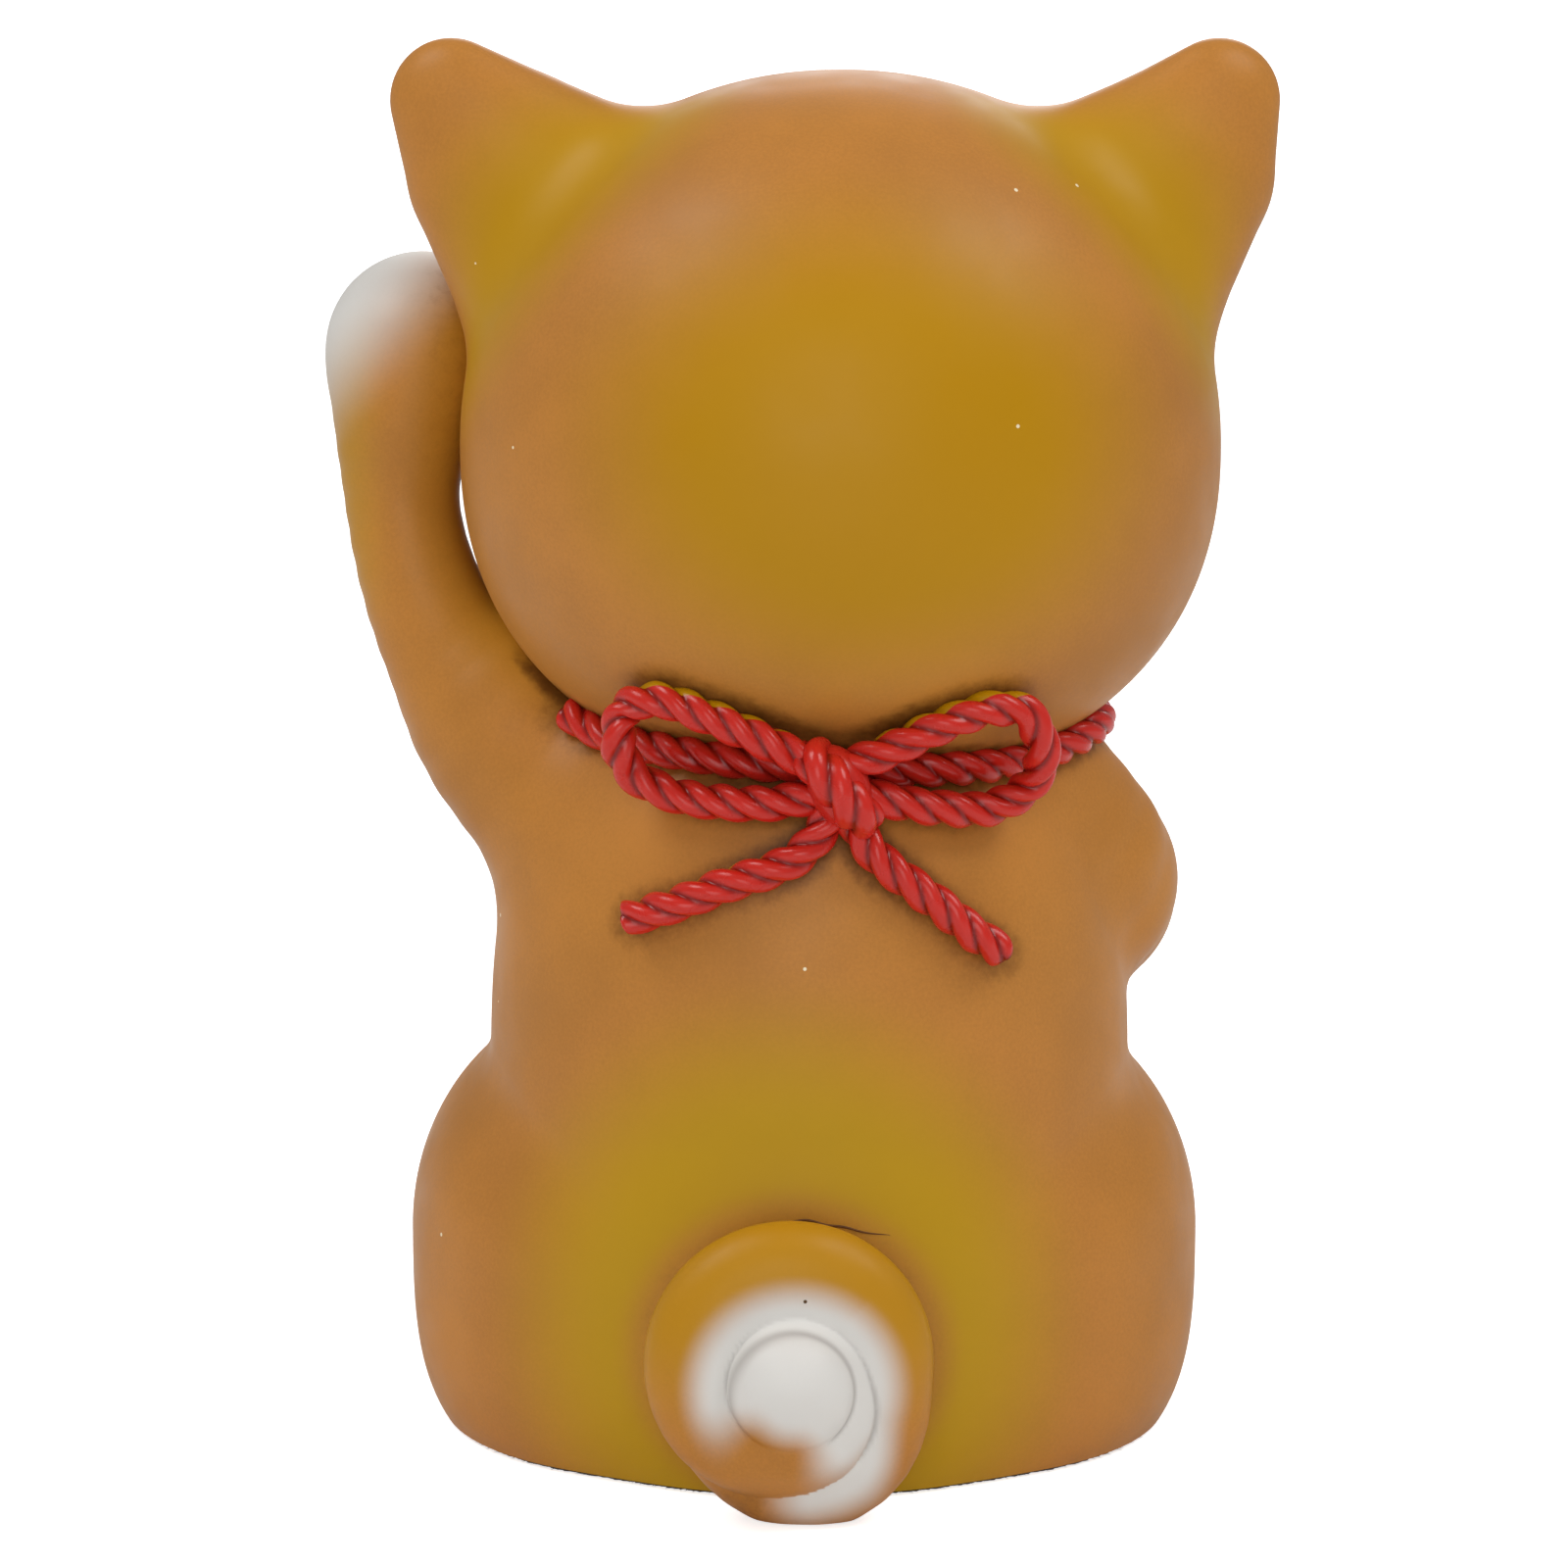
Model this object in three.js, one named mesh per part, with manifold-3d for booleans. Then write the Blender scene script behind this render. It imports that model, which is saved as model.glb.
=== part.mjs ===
// Seated beckoning dog, a cold cast resin figurine about 100 mm tall.
// The dog faces -Y, +X is its own left, and the felt under its base rests on z = 0.
// The castings are sculpted from rounded masses that flow into each other through fillets.

import * as THREE from 'three';
import { mergeVertices } from 'three/addons/utils/BufferGeometryUtils.js';
import Module from 'manifold-3d';

const wasm = await Module();
wasm.setup();

// Fits, in millimetres
const glueGap = 0.3;
const feltGlueGap = 0.1;

// Cell sizes of the lattices that the skins are drawn on
const castingCell = 2.9;
const clearanceCell = 2.5;
const tailCell = 1.4;

// Head: how deep it sinks into the torso, then its place and its reach to each side
const headSink = 8.9;
const headShift = -2.5;
const headForward = 2.0;
const headHalfWidth = 26.6;
const headFront = 21.5;
const headBack = 23.0;
const headCrown = 26.4;
const headChin = 23.4;
const crownFullness = 2.1;
const chinFullness = 2.22;
const roundFullness = 2;

// Cheeks and muzzle, measured from the centre of the head
const cheekSpread = 11.5;
const cheekForward = 10.5;
const cheekDrop = 9.0;
const cheekWidth = 11.5;
const cheekDepth = 10.5;
const cheekHeight = 9.8;
const cheekFillet = 6.0;
const muzzleForward = 18.5;
const muzzleDrop = 9.5;
const muzzleWidth = 9.6;
const muzzleDepth = 9.4;
const muzzleHeight = 6.5;
const muzzleFillet = 5.0;
const noseWidth = 3.0;
const noseDepth = 2.1;
const noseHeight = 2.0;
const noseRise = 3.6;
const eyeSpread = 9.2;
const eyeRise = 1.6;
const eyeRadius = 2.1;
const eyeBulge = 0.9;

// Ears, measured from the centre of the head: a root, a middle and a tip that flow together
const earTipSpread = 26.3;
const earTipRise = 23.9;
const earTipRadius = 5.0;
const earMiddleSpread = 23.0;
const earMiddleRise = 19.1;
const earMiddleRadius = 7.6;
const earRootSpread = 18.8;
const earRootRise = 15.0;
const earRootRadius = 9.2;
const earSetBack = 1.6;
const earFlatness = 0.62;
const earTurn = 0.17;
const earFillet = 4.0;
const earHollowAdvance = 6.4;
const earHollowRoot = 7.2;
const earHollowTip = 3.2;
const earHollowFillet = 1.5;

// Torso, haunches, rump and hind feet
const torsoRise = 25.0;
const torsoForward = 1.5;
const torsoHalfWidth = 22.3;
const torsoFront = 20.0;
const torsoBack = 19.0;
const torsoUp = 31.5;
const torsoDown = 33.0;
const torsoFullness = 2.8;
const haunchSpread = 13.4;
const haunchForward = 5.5;
const haunchRise = 14.0;
const haunchHalfWidth = 14.8;
const haunchDepth = 18.0;
const haunchUp = 16.5;
const haunchDown = 18.0;
const haunchLowFullness = 2.6;
const haunchHighFullness = 2.0;
const haunchFillet = 4.0;
const rumpHalfWidth = 20.0;
const rumpBack = 16.5;
const rumpRise = 10.0;
const rumpUp = 15.0;
const rumpDown = 16.0;
const rumpFullness = 2.6;
const rumpFillet = 6.0;
const footSpread = 14.5;
const footForward = 23.5;
const footHalfWidth = 6.8;
const footLength = 8.5;
const footHeight = 5.6;
const footRise = 4.0;
const footFullness = 2.2;
const footFillet = 2.0;

// Arms: the middle line of each limb and its radius at each bend
const raisedArmBends = [
  new THREE.Vector3(12.5, -2.0, 43.0),
  new THREE.Vector3(20.0, -4.5, 49.9),
  new THREE.Vector3(24.7, -6.5, 57.3),
  new THREE.Vector3(27.2, -8.0, 66.0),
  new THREE.Vector3(27.5, -9.0, 74.0),
  new THREE.Vector3(27.1, -10.5, 76.6),
];
const raisedArmRadii = [8.2, 7.2, 6.0, 5.4, 5.9, 6.2];
const raisedPawRadius = 6.3;
const raisedPawCurl = 8.0;
const raisedPawForward = 2.0;
const armFillet = 3.5;
const foldedArmBends = [
  new THREE.Vector3(-13.2, -2.0, 46.6),
  new THREE.Vector3(-18.7, -5.5, 39.4),
  new THREE.Vector3(-17.2, -14.5, 36.4),
  new THREE.Vector3(-8.0, -21.5, 36.8),
];
const foldedArmRadii = [8.3, 7.9, 6.4, 5.9];
const foldedArmFillet = 3.5;
const pawFillet = 3.0;
const rodsPerBend = 4;
const rodFillet = 0.2;

// Joints between the castings
const neckSpigotRadius = 6.0;
const neckSpigotLength = 9.0;
const shoulderAlongArm = 7.2;
const armSpigotRadius = 3.0;
const armSpigotLength = 6.0;
const tailPegRadius = 3.0;
const tailPegLength = 7.0;
const socketMouth = 3.0;

// Tail: two turns seen from behind, each standing proud of the one before. Its root swings out
// below, and its last turn winds in to a domed tip below the middle of the curl.
const tailShift = 1.15;
const tailRise = 11.65;
const tailSetBack = 21.0;
const tailFloorGap = 0.3;
const tailStartAngle = -140;
const tailSweep = 740;
const tailSpread = 5.4;
const tailSpreadPower = 1.5;
const tailOuterRadius = 5.75;
const tailRootSwing = 2.4;
const tailRootAngle = -74;
const tailRootSpan = 68;
const tailWindInFrom = 215;
const tailWindInTo = 360;
const tailInnerRadius = 1.1;
const tailTipRadius = 0.25;
const tailTipDrop = 1.0;
const tailTipShift = 0.25;
const tailThickness = 3.9;
const tailTipThickness = 4.2;
const tailFlatness = 0.7;
const tailFillet = 0.8;
const tailSeatRadius = 7.5;
const tailSeatDepth = 6.0;
const tailFillDepth = 4.2;
const tailSeatFillet = 1.0;
const tailRods = 48;

// Laid cord: three strands twisted together
const cordRadius = 1.4;
const strandPitch = 6.4;
const strandDepth = 0.3;
const cordSlack = 0.1;
const cordHand = -1;
const strandCount = 3;
const pointsPerStrand = 2;
const neckCordStart = 28;
const neckCordEnd = 333;
const neckCordSpacing = 10;
const bowBridge = 8;
const knotAside = 1.05;
const knotBelow = 0.44;
const knotHalfWidth = 2.1;
const knotHalfHeight = 3.1;
const knotHalfDepth = 2.0;
const knotTilt = 24;

// Bell, coin and felt
const bellRadius = 3.7;
const bellRimRadius = 4.2;
const bellRimHeight = 0.9;
const bellSlot = 0.8;
const bellSlotDepth = 2.2;
const bellDrop = 4.0;
const bellLift = 2.9;
const bellPegRadius = 1.1;
const bellPegLength = 3.0;
const coinHalfWidth = 7.0;
const coinHalfHeight = 11.5;
const coinThickness = 1.9;
const coinBevel = 0.3;
const coinRim = 1.2;
const coinRecess = 0.35;
const coinAside = 9.6;
const coinUnderPaw = 9.3;
const coinLean = 14;
const coinRoll = -10;
const coinStandOff = 0.3;
const coinPegRadius = 1.5;
const coinPegLength = 4.0;
const feltThickness = 0.8;
const feltInset = 0.35;
const feltPoints = 48;

const farOutside = 60;
const blockSide = 160;
const tiny = 1e-9;
const degrees = Math.PI / 180;
const axisY = new THREE.Vector3(0, 1, 0);
const axisZ = new THREE.Vector3(0, 0, 1);

// A mass holds at(x, y, z), negative inside and about the distance outside, and the box it lies in.

// An egg has its own reach to each side of each axis, and a fullness below and above its middle.
function egg(centre, low, high, lowFullness, highFullness) {
  const at = (x, y, z) => {
    const reachX = x < centre.x ? low.x : high.x;
    const reachY = y < centre.y ? low.y : high.y;
    const reachZ = z < centre.z ? low.z : high.z;
    const fullness = z < centre.z ? lowFullness : highFullness;
    const across = (x - centre.x) / reachX;
    const along = (y - centre.y) / reachY;
    const round = Math.hypot(across, along) + tiny;
    const tall = Math.abs((z - centre.z) / reachZ) + tiny;
    const size = (round ** fullness + tall ** fullness) ** (1 / fullness);
    const slope = (round / size) ** (fullness - 1);
    const slopeX = (slope * across) / (round * reachX);
    const slopeY = (slope * along) / (round * reachY);
    const slopeZ = (tall / size) ** (fullness - 1) / reachZ;
    return (size - 1) / (Math.hypot(slopeX, slopeY, slopeZ) + tiny);
  };
  return { at, box: new THREE.Box3(centre.clone().sub(low), centre.clone().add(high)) };
}

// A ball egg with one reach each way on every axis.
function plainEgg(centre, halfSize, fullness) {
  return egg(centre, halfSize, halfSize, fullness, fullness);
}

// A tapered rod between two round ends, squeezed along one direction when flatness is below 1.
function taperedRod(start, end, startRadius, endRadius, flatness = 1, thin = axisY) {
  const rod = end.clone().sub(start);
  const lengthSquared = rod.lengthSq();
  const at = (x, y, z) => {
    const dx = x - start.x;
    const dy = y - start.y;
    const dz = z - start.z;
    const along = (dx * rod.x + dy * rod.y + dz * rod.z) / lengthSquared;
    const share = Math.min(1, Math.max(0, along));
    const offX = dx - share * rod.x;
    const offY = dy - share * rod.y;
    const offZ = dz - share * rod.z;
    const radius = startRadius + share * (endRadius - startRadius);
    const across = offX * thin.x + offY * thin.y + offZ * thin.z;
    const rest = offX * offX + offY * offY + offZ * offZ - across * across;
    const stretched = Math.sqrt(rest + (across / flatness) ** 2) + tiny;
    const slope = Math.sqrt(rest + (across / flatness ** 2) ** 2) / stretched;
    return (stretched - radius) / Math.max(slope, tiny);
  };
  const box = new THREE.Box3().setFromPoints([start, end]);
  return { at, box: box.expandByScalar(Math.max(startRadius, endRadius)) };
}

// Joins two masses with a rounded inside corner.
function blend(first, second, fillet) {
  const at = (x, y, z) => {
    const a = first.at(x, y, z);
    const b = second.at(x, y, z);
    const overlap = Math.max(fillet - Math.abs(a - b), 0) / fillet;
    return Math.min(a, b) - (overlap * overlap * fillet) / 4;
  };
  return { at, box: first.box.clone().union(second.box).expandByScalar(fillet / 4) };
}

// Takes the second mass out of the first and rounds the edge that this leaves.
function hollow(first, second, fillet) {
  const at = (x, y, z) => {
    const a = first.at(x, y, z);
    const b = -second.at(x, y, z);
    const overlap = Math.max(fillet - Math.abs(a - b), 0) / fillet;
    return Math.max(a, b) + (overlap * overlap * fillet) / 4;
  };
  return { at, box: first.box };
}

function grow(mass, amount) {
  const at = (x, y, z) => mass.at(x, y, z) - amount;
  return { at, box: mass.box.clone().expandByScalar(amount) };
}

// A limb swells and tapers smoothly along a curve through its bends.
function limb(bends, radii) {
  const middle = new THREE.CatmullRomCurve3(bends);
  const swell = new THREE.SplineCurve(radii.map((radius, i) => new THREE.Vector2(i, radius)));
  const count = rodsPerBend * (bends.length - 1);
  const points = middle.getPoints(count);
  const sizes = swell.getPoints(count).map((size) => size.y);
  const rods = points.slice(1).map((point, i) => taperedRod(points[i], point, sizes[i], sizes[i + 1]));
  return rods.reduce((whole, rod) => blend(whole, rod, rodFillet));
}

function slopeOf(mass, point) {
  const step = 0.02;
  const { x, y, z } = point;
  return new THREE.Vector3(
    mass.at(x + step, y, z) - mass.at(x - step, y, z),
    mass.at(x, y + step, z) - mass.at(x, y - step, z),
    mass.at(x, y, z + step) - mass.at(x, y, z - step),
  ).divideScalar(2 * step);
}

// Slides a point along the slope of a mass until it lies on the surface.
function slideOnto(mass, point, longestStep) {
  const slides = 6;
  for (let i = 0; i < slides; i++) {
    const slope = slopeOf(mass, point);
    const distance = mass.at(point.x, point.y, point.z);
    const move = slope.multiplyScalar(-distance / Math.max(slope.lengthSq(), tiny));
    point.add(move.clampLength(0, longestStep));
  }
  return point;
}

// The closed skin of a mass: space is split into cells, each cell that the surface crosses gets
// one point, slid onto the surface, and each lattice edge that it crosses joins four points.
function skinOf(mass, cell) {
  const box = mass.box.clone().expandByScalar(2 * cell);
  const size = box.getSize(new THREE.Vector3()).divideScalar(cell).ceil();
  const counts = [size.x + 1, size.y + 1, size.z + 1];
  const strides = [1, counts[0], counts[0] * counts[1]];
  const values = new Float32Array(counts[0] * counts[1] * counts[2]);
  const place = (i, j, k) => i + j * strides[1] + k * strides[2];
  for (let k = 0; k < counts[2]; k++) {
    for (let j = 0; j < counts[1]; j++) {
      for (let i = 0; i < counts[0]; i++) {
        values[place(i, j, k)] = mass.at(box.min.x + i * cell, box.min.y + j * cell, box.min.z + k * cell);
      }
    }
  }
  fillPinches(values, strides);
  const corners = [];
  for (let n = 0; n < 8; n++) {
    corners.push((n & 1) * strides[0] + ((n >> 1) & 1) * strides[1] + (n >> 2) * strides[2]);
  }
  const pointOfCell = new Int32Array(values.length).fill(-1);
  const points = [];
  for (let k = 0; k < counts[2] - 1; k++) {
    for (let j = 0; j < counts[1] - 1; j++) {
      for (let i = 0; i < counts[0] - 1; i++) {
        const here = place(i, j, k);
        const inside = corners.filter((corner) => values[here + corner] < 0).length;
        if (inside > 0 && inside < corners.length) {
          const middle = new THREE.Vector3(i + 0.5, j + 0.5, k + 0.5).multiplyScalar(cell).add(box.min);
          pointOfCell[here] = points.length;
          points.push(slideOnto(mass, middle, cell / 2));
        }
      }
    }
  }
  const faces = [];
  for (let k = 1; k < counts[2] - 1; k++) {
    for (let j = 1; j < counts[1] - 1; j++) {
      for (let i = 1; i < counts[0] - 1; i++) {
        const here = place(i, j, k);
        const inside = values[here] < 0;
        for (let axis = 0; axis < 3; axis++) {
          if (values[here + strides[axis]] < 0 !== inside) {
            const b = strides[(axis + 1) % 3];
            const c = strides[(axis + 2) % 3];
            const quad = [here - b - c, here - c, here, here - b].map((at) => pointOfCell[at]);
            faces.push(...splitQuad(inside ? quad : quad.reverse(), points));
          }
        }
      }
    }
  }
  const geometry = new THREE.BufferGeometry().setFromPoints(points);
  return geometry.setIndex(faces);
}

// Where the corners of a lattice square lie in, out, in and out, the skin would touch itself
// along one line, so such a square is filled, and the search is repeated until none is left.
function fillPinches(values, strides) {
  const squares = [[strides[0], strides[1]], [strides[1], strides[2]], [strides[2], strides[0]]];
  let filled = true;
  while (filled) {
    filled = false;
    for (const [a, b] of squares) {
      for (let here = 0; here + a + b < values.length; here++) {
        const square = [here, here + a, here + a + b, here + b];
        const [first, second, third, fourth] = square.map((at) => values[at] < 0);
        if (first !== second && first === third && second === fourth) {
          for (const at of square) {
            values[at] = Math.min(values[at], -tiny);
          }
          filled = true;
        }
      }
    }
  }
}

// Two triangles of a four cornered face, split along its shorter diagonal.
function splitQuad([a, b, c, d], points) {
  const straight = points[a].distanceTo(points[c]) <= points[b].distanceTo(points[d]);
  return straight ? [a, b, c, a, c, d] : [a, b, d, b, c, d];
}

function solidOf(geometry, matrix = new THREE.Matrix4()) {
  const plain = geometry.clone().applyMatrix4(matrix);
  plain.deleteAttribute('normal');
  plain.deleteAttribute('uv');
  const merged = mergeVertices(plain, 1e-4);
  const vertProperties = new Float32Array(merged.attributes.position.array);
  const triVerts = new Uint32Array(merged.index.array);
  return new wasm.Manifold(new wasm.Mesh({ numProp: 3, vertProperties, triVerts }));
}

function geometryOf(solid) {
  const { vertProperties, triVerts } = solid.getMesh();
  const geometry = new THREE.BufferGeometry();
  geometry.setAttribute('position', new THREE.BufferAttribute(vertProperties, 3));
  geometry.setIndex(new THREE.BufferAttribute(triVerts, 1));
  geometry.computeVertexNormals();
  return geometry;
}

// A matrix that stands a shape made along +Z at a point, with its +Z along a direction.
function standAt(point, direction) {
  const turn = new THREE.Quaternion().setFromUnitVectors(axisZ, direction.clone().normalize());
  return new THREE.Matrix4().compose(point, turn, new THREE.Vector3(1, 1, 1));
}

// A round pin that starts at a point and runs the given length along a direction.
function pin(start, direction, radius, length) {
  const sides = 20;
  const rod = new THREE.CylinderGeometry(radius, radius, length, sides);
  rod.rotateX(Math.PI / 2).translate(0, 0, length / 2);
  return solidOf(rod, standAt(start, direction));
}

// A large block whose one face lies at a point, square to a direction, with its bulk beyond.
function blockBeyond(point, direction) {
  const block = new THREE.BoxGeometry(blockSide, blockSide, blockSide).translate(0, 0, blockSide / 2);
  return solidOf(block, standAt(point, direction));
}

// Head mass
const headRise = torsoRise + torsoUp - headSink + headChin;
const headCentre = new THREE.Vector3(headShift, -headForward, headRise);
const fromHead = (x, y, z) => headCentre.clone().add(new THREE.Vector3(x, y, z));

function earMass(side) {
  const root = fromHead(side * earRootSpread, -earSetBack / 2, earRootRise);
  const middle = fromHead(side * earMiddleSpread, -earSetBack, earMiddleRise);
  const tip = fromHead(side * earTipSpread, -earSetBack, earTipRise);
  const thin = new THREE.Vector3(side * earTurn, 1, 0).normalize();
  const lower = taperedRod(root, middle, earRootRadius, earMiddleRadius, earFlatness, thin);
  const upper = taperedRod(middle, tip, earMiddleRadius, earTipRadius, earFlatness, thin);
  const advance = thin.clone().multiplyScalar(-earHollowAdvance);
  const innerRoot = root.clone().add(advance);
  const innerTip = tip.clone().add(advance);
  const inner = taperedRod(innerRoot, innerTip, earHollowRoot, earHollowTip, earFlatness, thin);
  return hollow(blend(lower, upper, rodFillet), inner, earHollowFillet);
}

function makeHeadMass() {
  const low = new THREE.Vector3(headHalfWidth, headFront, headChin);
  const high = new THREE.Vector3(headHalfWidth, headBack, headCrown);
  let mass = egg(headCentre, low, high, chinFullness, crownFullness);
  for (const side of [-1, 1]) {
    const cheekCentre = fromHead(side * cheekSpread, -cheekForward, -cheekDrop);
    const cheekSize = new THREE.Vector3(cheekWidth, cheekDepth, cheekHeight);
    mass = blend(mass, plainEgg(cheekCentre, cheekSize, roundFullness), cheekFillet);
  }
  const muzzleCentre = fromHead(0, -muzzleForward, -muzzleDrop);
  const muzzleSize = new THREE.Vector3(muzzleWidth, muzzleDepth, muzzleHeight);
  mass = blend(mass, plainEgg(muzzleCentre, muzzleSize, roundFullness), muzzleFillet);
  for (const side of [-1, 1]) {
    mass = blend(mass, earMass(side), earFillet);
  }
  return mass;
}

// Body masses
function makeTorsoMass() {
  const torsoCentre = new THREE.Vector3(0, -torsoForward, torsoRise);
  const low = new THREE.Vector3(torsoHalfWidth, torsoFront, torsoDown);
  const high = new THREE.Vector3(torsoHalfWidth, torsoBack, torsoUp);
  let mass = egg(torsoCentre, low, high, torsoFullness, torsoFullness);
  for (const side of [-1, 1]) {
    const haunchCentre = new THREE.Vector3(side * haunchSpread, -haunchForward, haunchRise);
    const haunchLow = new THREE.Vector3(haunchHalfWidth, haunchDepth, haunchDown);
    const haunchHigh = new THREE.Vector3(haunchHalfWidth, haunchDepth, haunchUp);
    const haunch = egg(haunchCentre, haunchLow, haunchHigh, haunchLowFullness, haunchHighFullness);
    mass = blend(mass, haunch, haunchFillet);
  }
  const rumpCentre = new THREE.Vector3(0, 0, rumpRise);
  const rumpLow = new THREE.Vector3(rumpHalfWidth, rumpBack, rumpDown);
  const rumpHigh = new THREE.Vector3(rumpHalfWidth, rumpBack, rumpUp);
  mass = blend(mass, egg(rumpCentre, rumpLow, rumpHigh, rumpFullness, rumpFullness), rumpFillet);
  for (const side of [-1, 1]) {
    const footCentre = new THREE.Vector3(side * footSpread, -footForward, footRise);
    const footSize = new THREE.Vector3(footHalfWidth, footLength, footHeight);
    mass = blend(mass, plainEgg(footCentre, footSize, footFullness), footFillet);
  }
  return blend(mass, limb(foldedArmBends, foldedArmRadii), foldedArmFillet);
}

function makeRaisedArmMass() {
  const arm = limb(raisedArmBends, raisedArmRadii);
  const wrist = raisedArmBends.at(-1);
  const low = new THREE.Vector3(raisedPawRadius, raisedPawCurl, raisedPawRadius);
  const high = new THREE.Vector3(raisedPawRadius, raisedPawRadius, raisedPawRadius);
  const pawCentre = wrist.clone().setY(wrist.y - raisedPawForward);
  return blend(arm, egg(pawCentre, low, high, roundFullness, roundFullness), pawFillet);
}

const headMass = makeHeadMass();
const torsoMass = makeTorsoMass();
const bodyMass = blend(torsoMass, makeRaisedArmMass(), armFillet);
const headClearance = solidOf(skinOf(grow(headMass, glueGap), clearanceCell));
const bodyClearance = solidOf(skinOf(grow(bodyMass, glueGap), clearanceCell));

// Joint places
const feltTop = feltThickness + feltGlueGap;
const shoulderDirection = raisedArmBends[1].clone().sub(raisedArmBends[0]).normalize();
const shoulderPoint = raisedArmBends[0].clone().addScaledVector(shoulderDirection, shoulderAlongArm);
const intoShoulder = shoulderDirection.clone().negate();
const neckPoint = new THREE.Vector3(headCentre.x, headCentre.y, headCentre.z - headChin);
const down = axisZ.clone().negate();
const towardsFront = axisY.clone().negate();

// Walks from a start along a direction until a mass is a given distance away.
function walkTo(mass, start, direction, distance) {
  const point = start.clone();
  const steps = 60;
  const caution = 0.8;
  for (let i = 0; i < steps; i++) {
    const left = mass.at(point.x, point.y, point.z) - distance;
    point.addScaledVector(direction, caution * left);
  }
  return point;
}

// The point on a mass, seen from behind, at a place across and a height, lifted off the surface.
function seatBehind(mass, x, z, lift) {
  return walkTo(mass, new THREE.Vector3(x, farOutside, z), towardsFront, lift);
}

function seatInFront(mass, x, z, lift) {
  return walkTo(mass, new THREE.Vector3(x, -farOutside, z), axisY, lift);
}

const tailSeat = seatBehind(bodyMass, tailShift, tailRise, 0);
const foldedPaw = foldedArmBends.at(-1);
const coinSeat = seatInFront(bodyMass, foldedPaw.x + coinAside, foldedPaw.z - coinUnderPaw, coinStandOff);
const cordLift = cordRadius + glueGap + cordSlack;
const frontOfNeck = neckGroove(270);
const bellSeat = seatInFront(bodyMass, frontOfNeck.x, frontOfNeck.z - bellDrop, 0);
const bellCentre = bellSeat.clone().setY(bellSeat.y - bellLift);

// Castings
const bodySkin = solidOf(skinOf(bodyMass, castingCell));

// A round pin set into a casting, or its socket: it starts outside the surface by the mouth.
function peg(surfacePoint, direction, radius, length, clearance, mouth = socketMouth) {
  const start = surfacePoint.clone().addScaledVector(direction, -mouth);
  return pin(start, direction, radius + clearance, length + mouth + clearance);
}

const neckPeg = (clearance) => peg(neckPoint, down, neckSpigotRadius, neckSpigotLength, clearance);
const armPeg = (clearance) => peg(shoulderPoint, intoShoulder, armSpigotRadius, armSpigotLength, clearance);
const tailPeg = (clearance) => peg(tailSeat, towardsFront, tailPegRadius, tailPegLength, clearance);
const coinPeg = (clearance) => {
  const mouth = coinThickness / 2;
  return peg(coinSeat, axisY, coinPegRadius, coinPegLength, clearance, mouth);
};
const bellPeg = (clearance) => peg(bellSeat, axisY, bellPegRadius, bellPegLength, clearance);

function torsoCasting() {
  const shoulderFace = shoulderPoint.clone().addScaledVector(intoShoulder, glueGap);
  return bodySkin
    .subtract(headClearance)
    .subtract(blockBeyond(shoulderFace, shoulderDirection))
    .subtract(blockBeyond(new THREE.Vector3(0, 0, feltTop), down))
    .subtract(neckPeg(glueGap))
    .subtract(armPeg(glueGap))
    .subtract(tailPeg(glueGap))
    .subtract(coinPeg(glueGap))
    .subtract(bellPeg(glueGap));
}

function raisedArmCasting() {
  return bodySkin
    .intersect(blockBeyond(shoulderPoint, shoulderDirection))
    .subtract(headClearance)
    .add(armPeg(0));
}

function ball(centre, halfSize) {
  const sphere = new THREE.SphereGeometry(1, 16, 10);
  return solidOf(sphere, new THREE.Matrix4().makeTranslation(centre).scale(halfSize));
}

function headCasting() {
  const nosePoint = seatInFront(headMass, headCentre.x, headRise - muzzleDrop + noseRise, 0);
  const nose = ball(nosePoint, new THREE.Vector3(noseWidth, noseDepth, noseHeight));
  let head = solidOf(skinOf(headMass, castingCell)).add(neckPeg(0)).add(nose);
  for (const side of [-1, 1]) {
    const eyePoint = seatInFront(headMass, headCentre.x + side * eyeSpread, headRise + eyeRise, 0);
    head = head.add(ball(eyePoint, new THREE.Vector3(eyeRadius, eyeBulge, eyeRadius)));
  }
  return head;
}

// The tail's middle line, from its root under the rump to the domed tip at the middle of the curl.
class TailCurl extends THREE.Curve {
  getPoint(share, target = new THREE.Vector3()) {
    const { smoothstep, lerp, mapLinear } = THREE.MathUtils;
    const angle = tailStartAngle + tailSweep * share;
    const endAngle = tailStartAngle + tailSweep;
    const swing = 1 - smoothstep(Math.abs(angle - tailRootAngle), 0, tailRootSpan);
    const windIn = smoothstep(angle, tailWindInFrom, tailWindInTo);
    const outer = tailOuterRadius + tailRootSwing * swing;
    const inner = mapLinear(angle, tailWindInTo, endAngle, tailInnerRadius, tailTipRadius);
    const radius = lerp(outer, inner, windIn);
    const x = tailShift - tailTipShift * windIn - radius * Math.cos(angle * degrees);
    const z = tailRise - tailTipDrop * windIn + radius * Math.sin(angle * degrees);
    return target.set(x, tailSetBack + tailSpread * share ** tailSpreadPower, z);
  }
}

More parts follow.
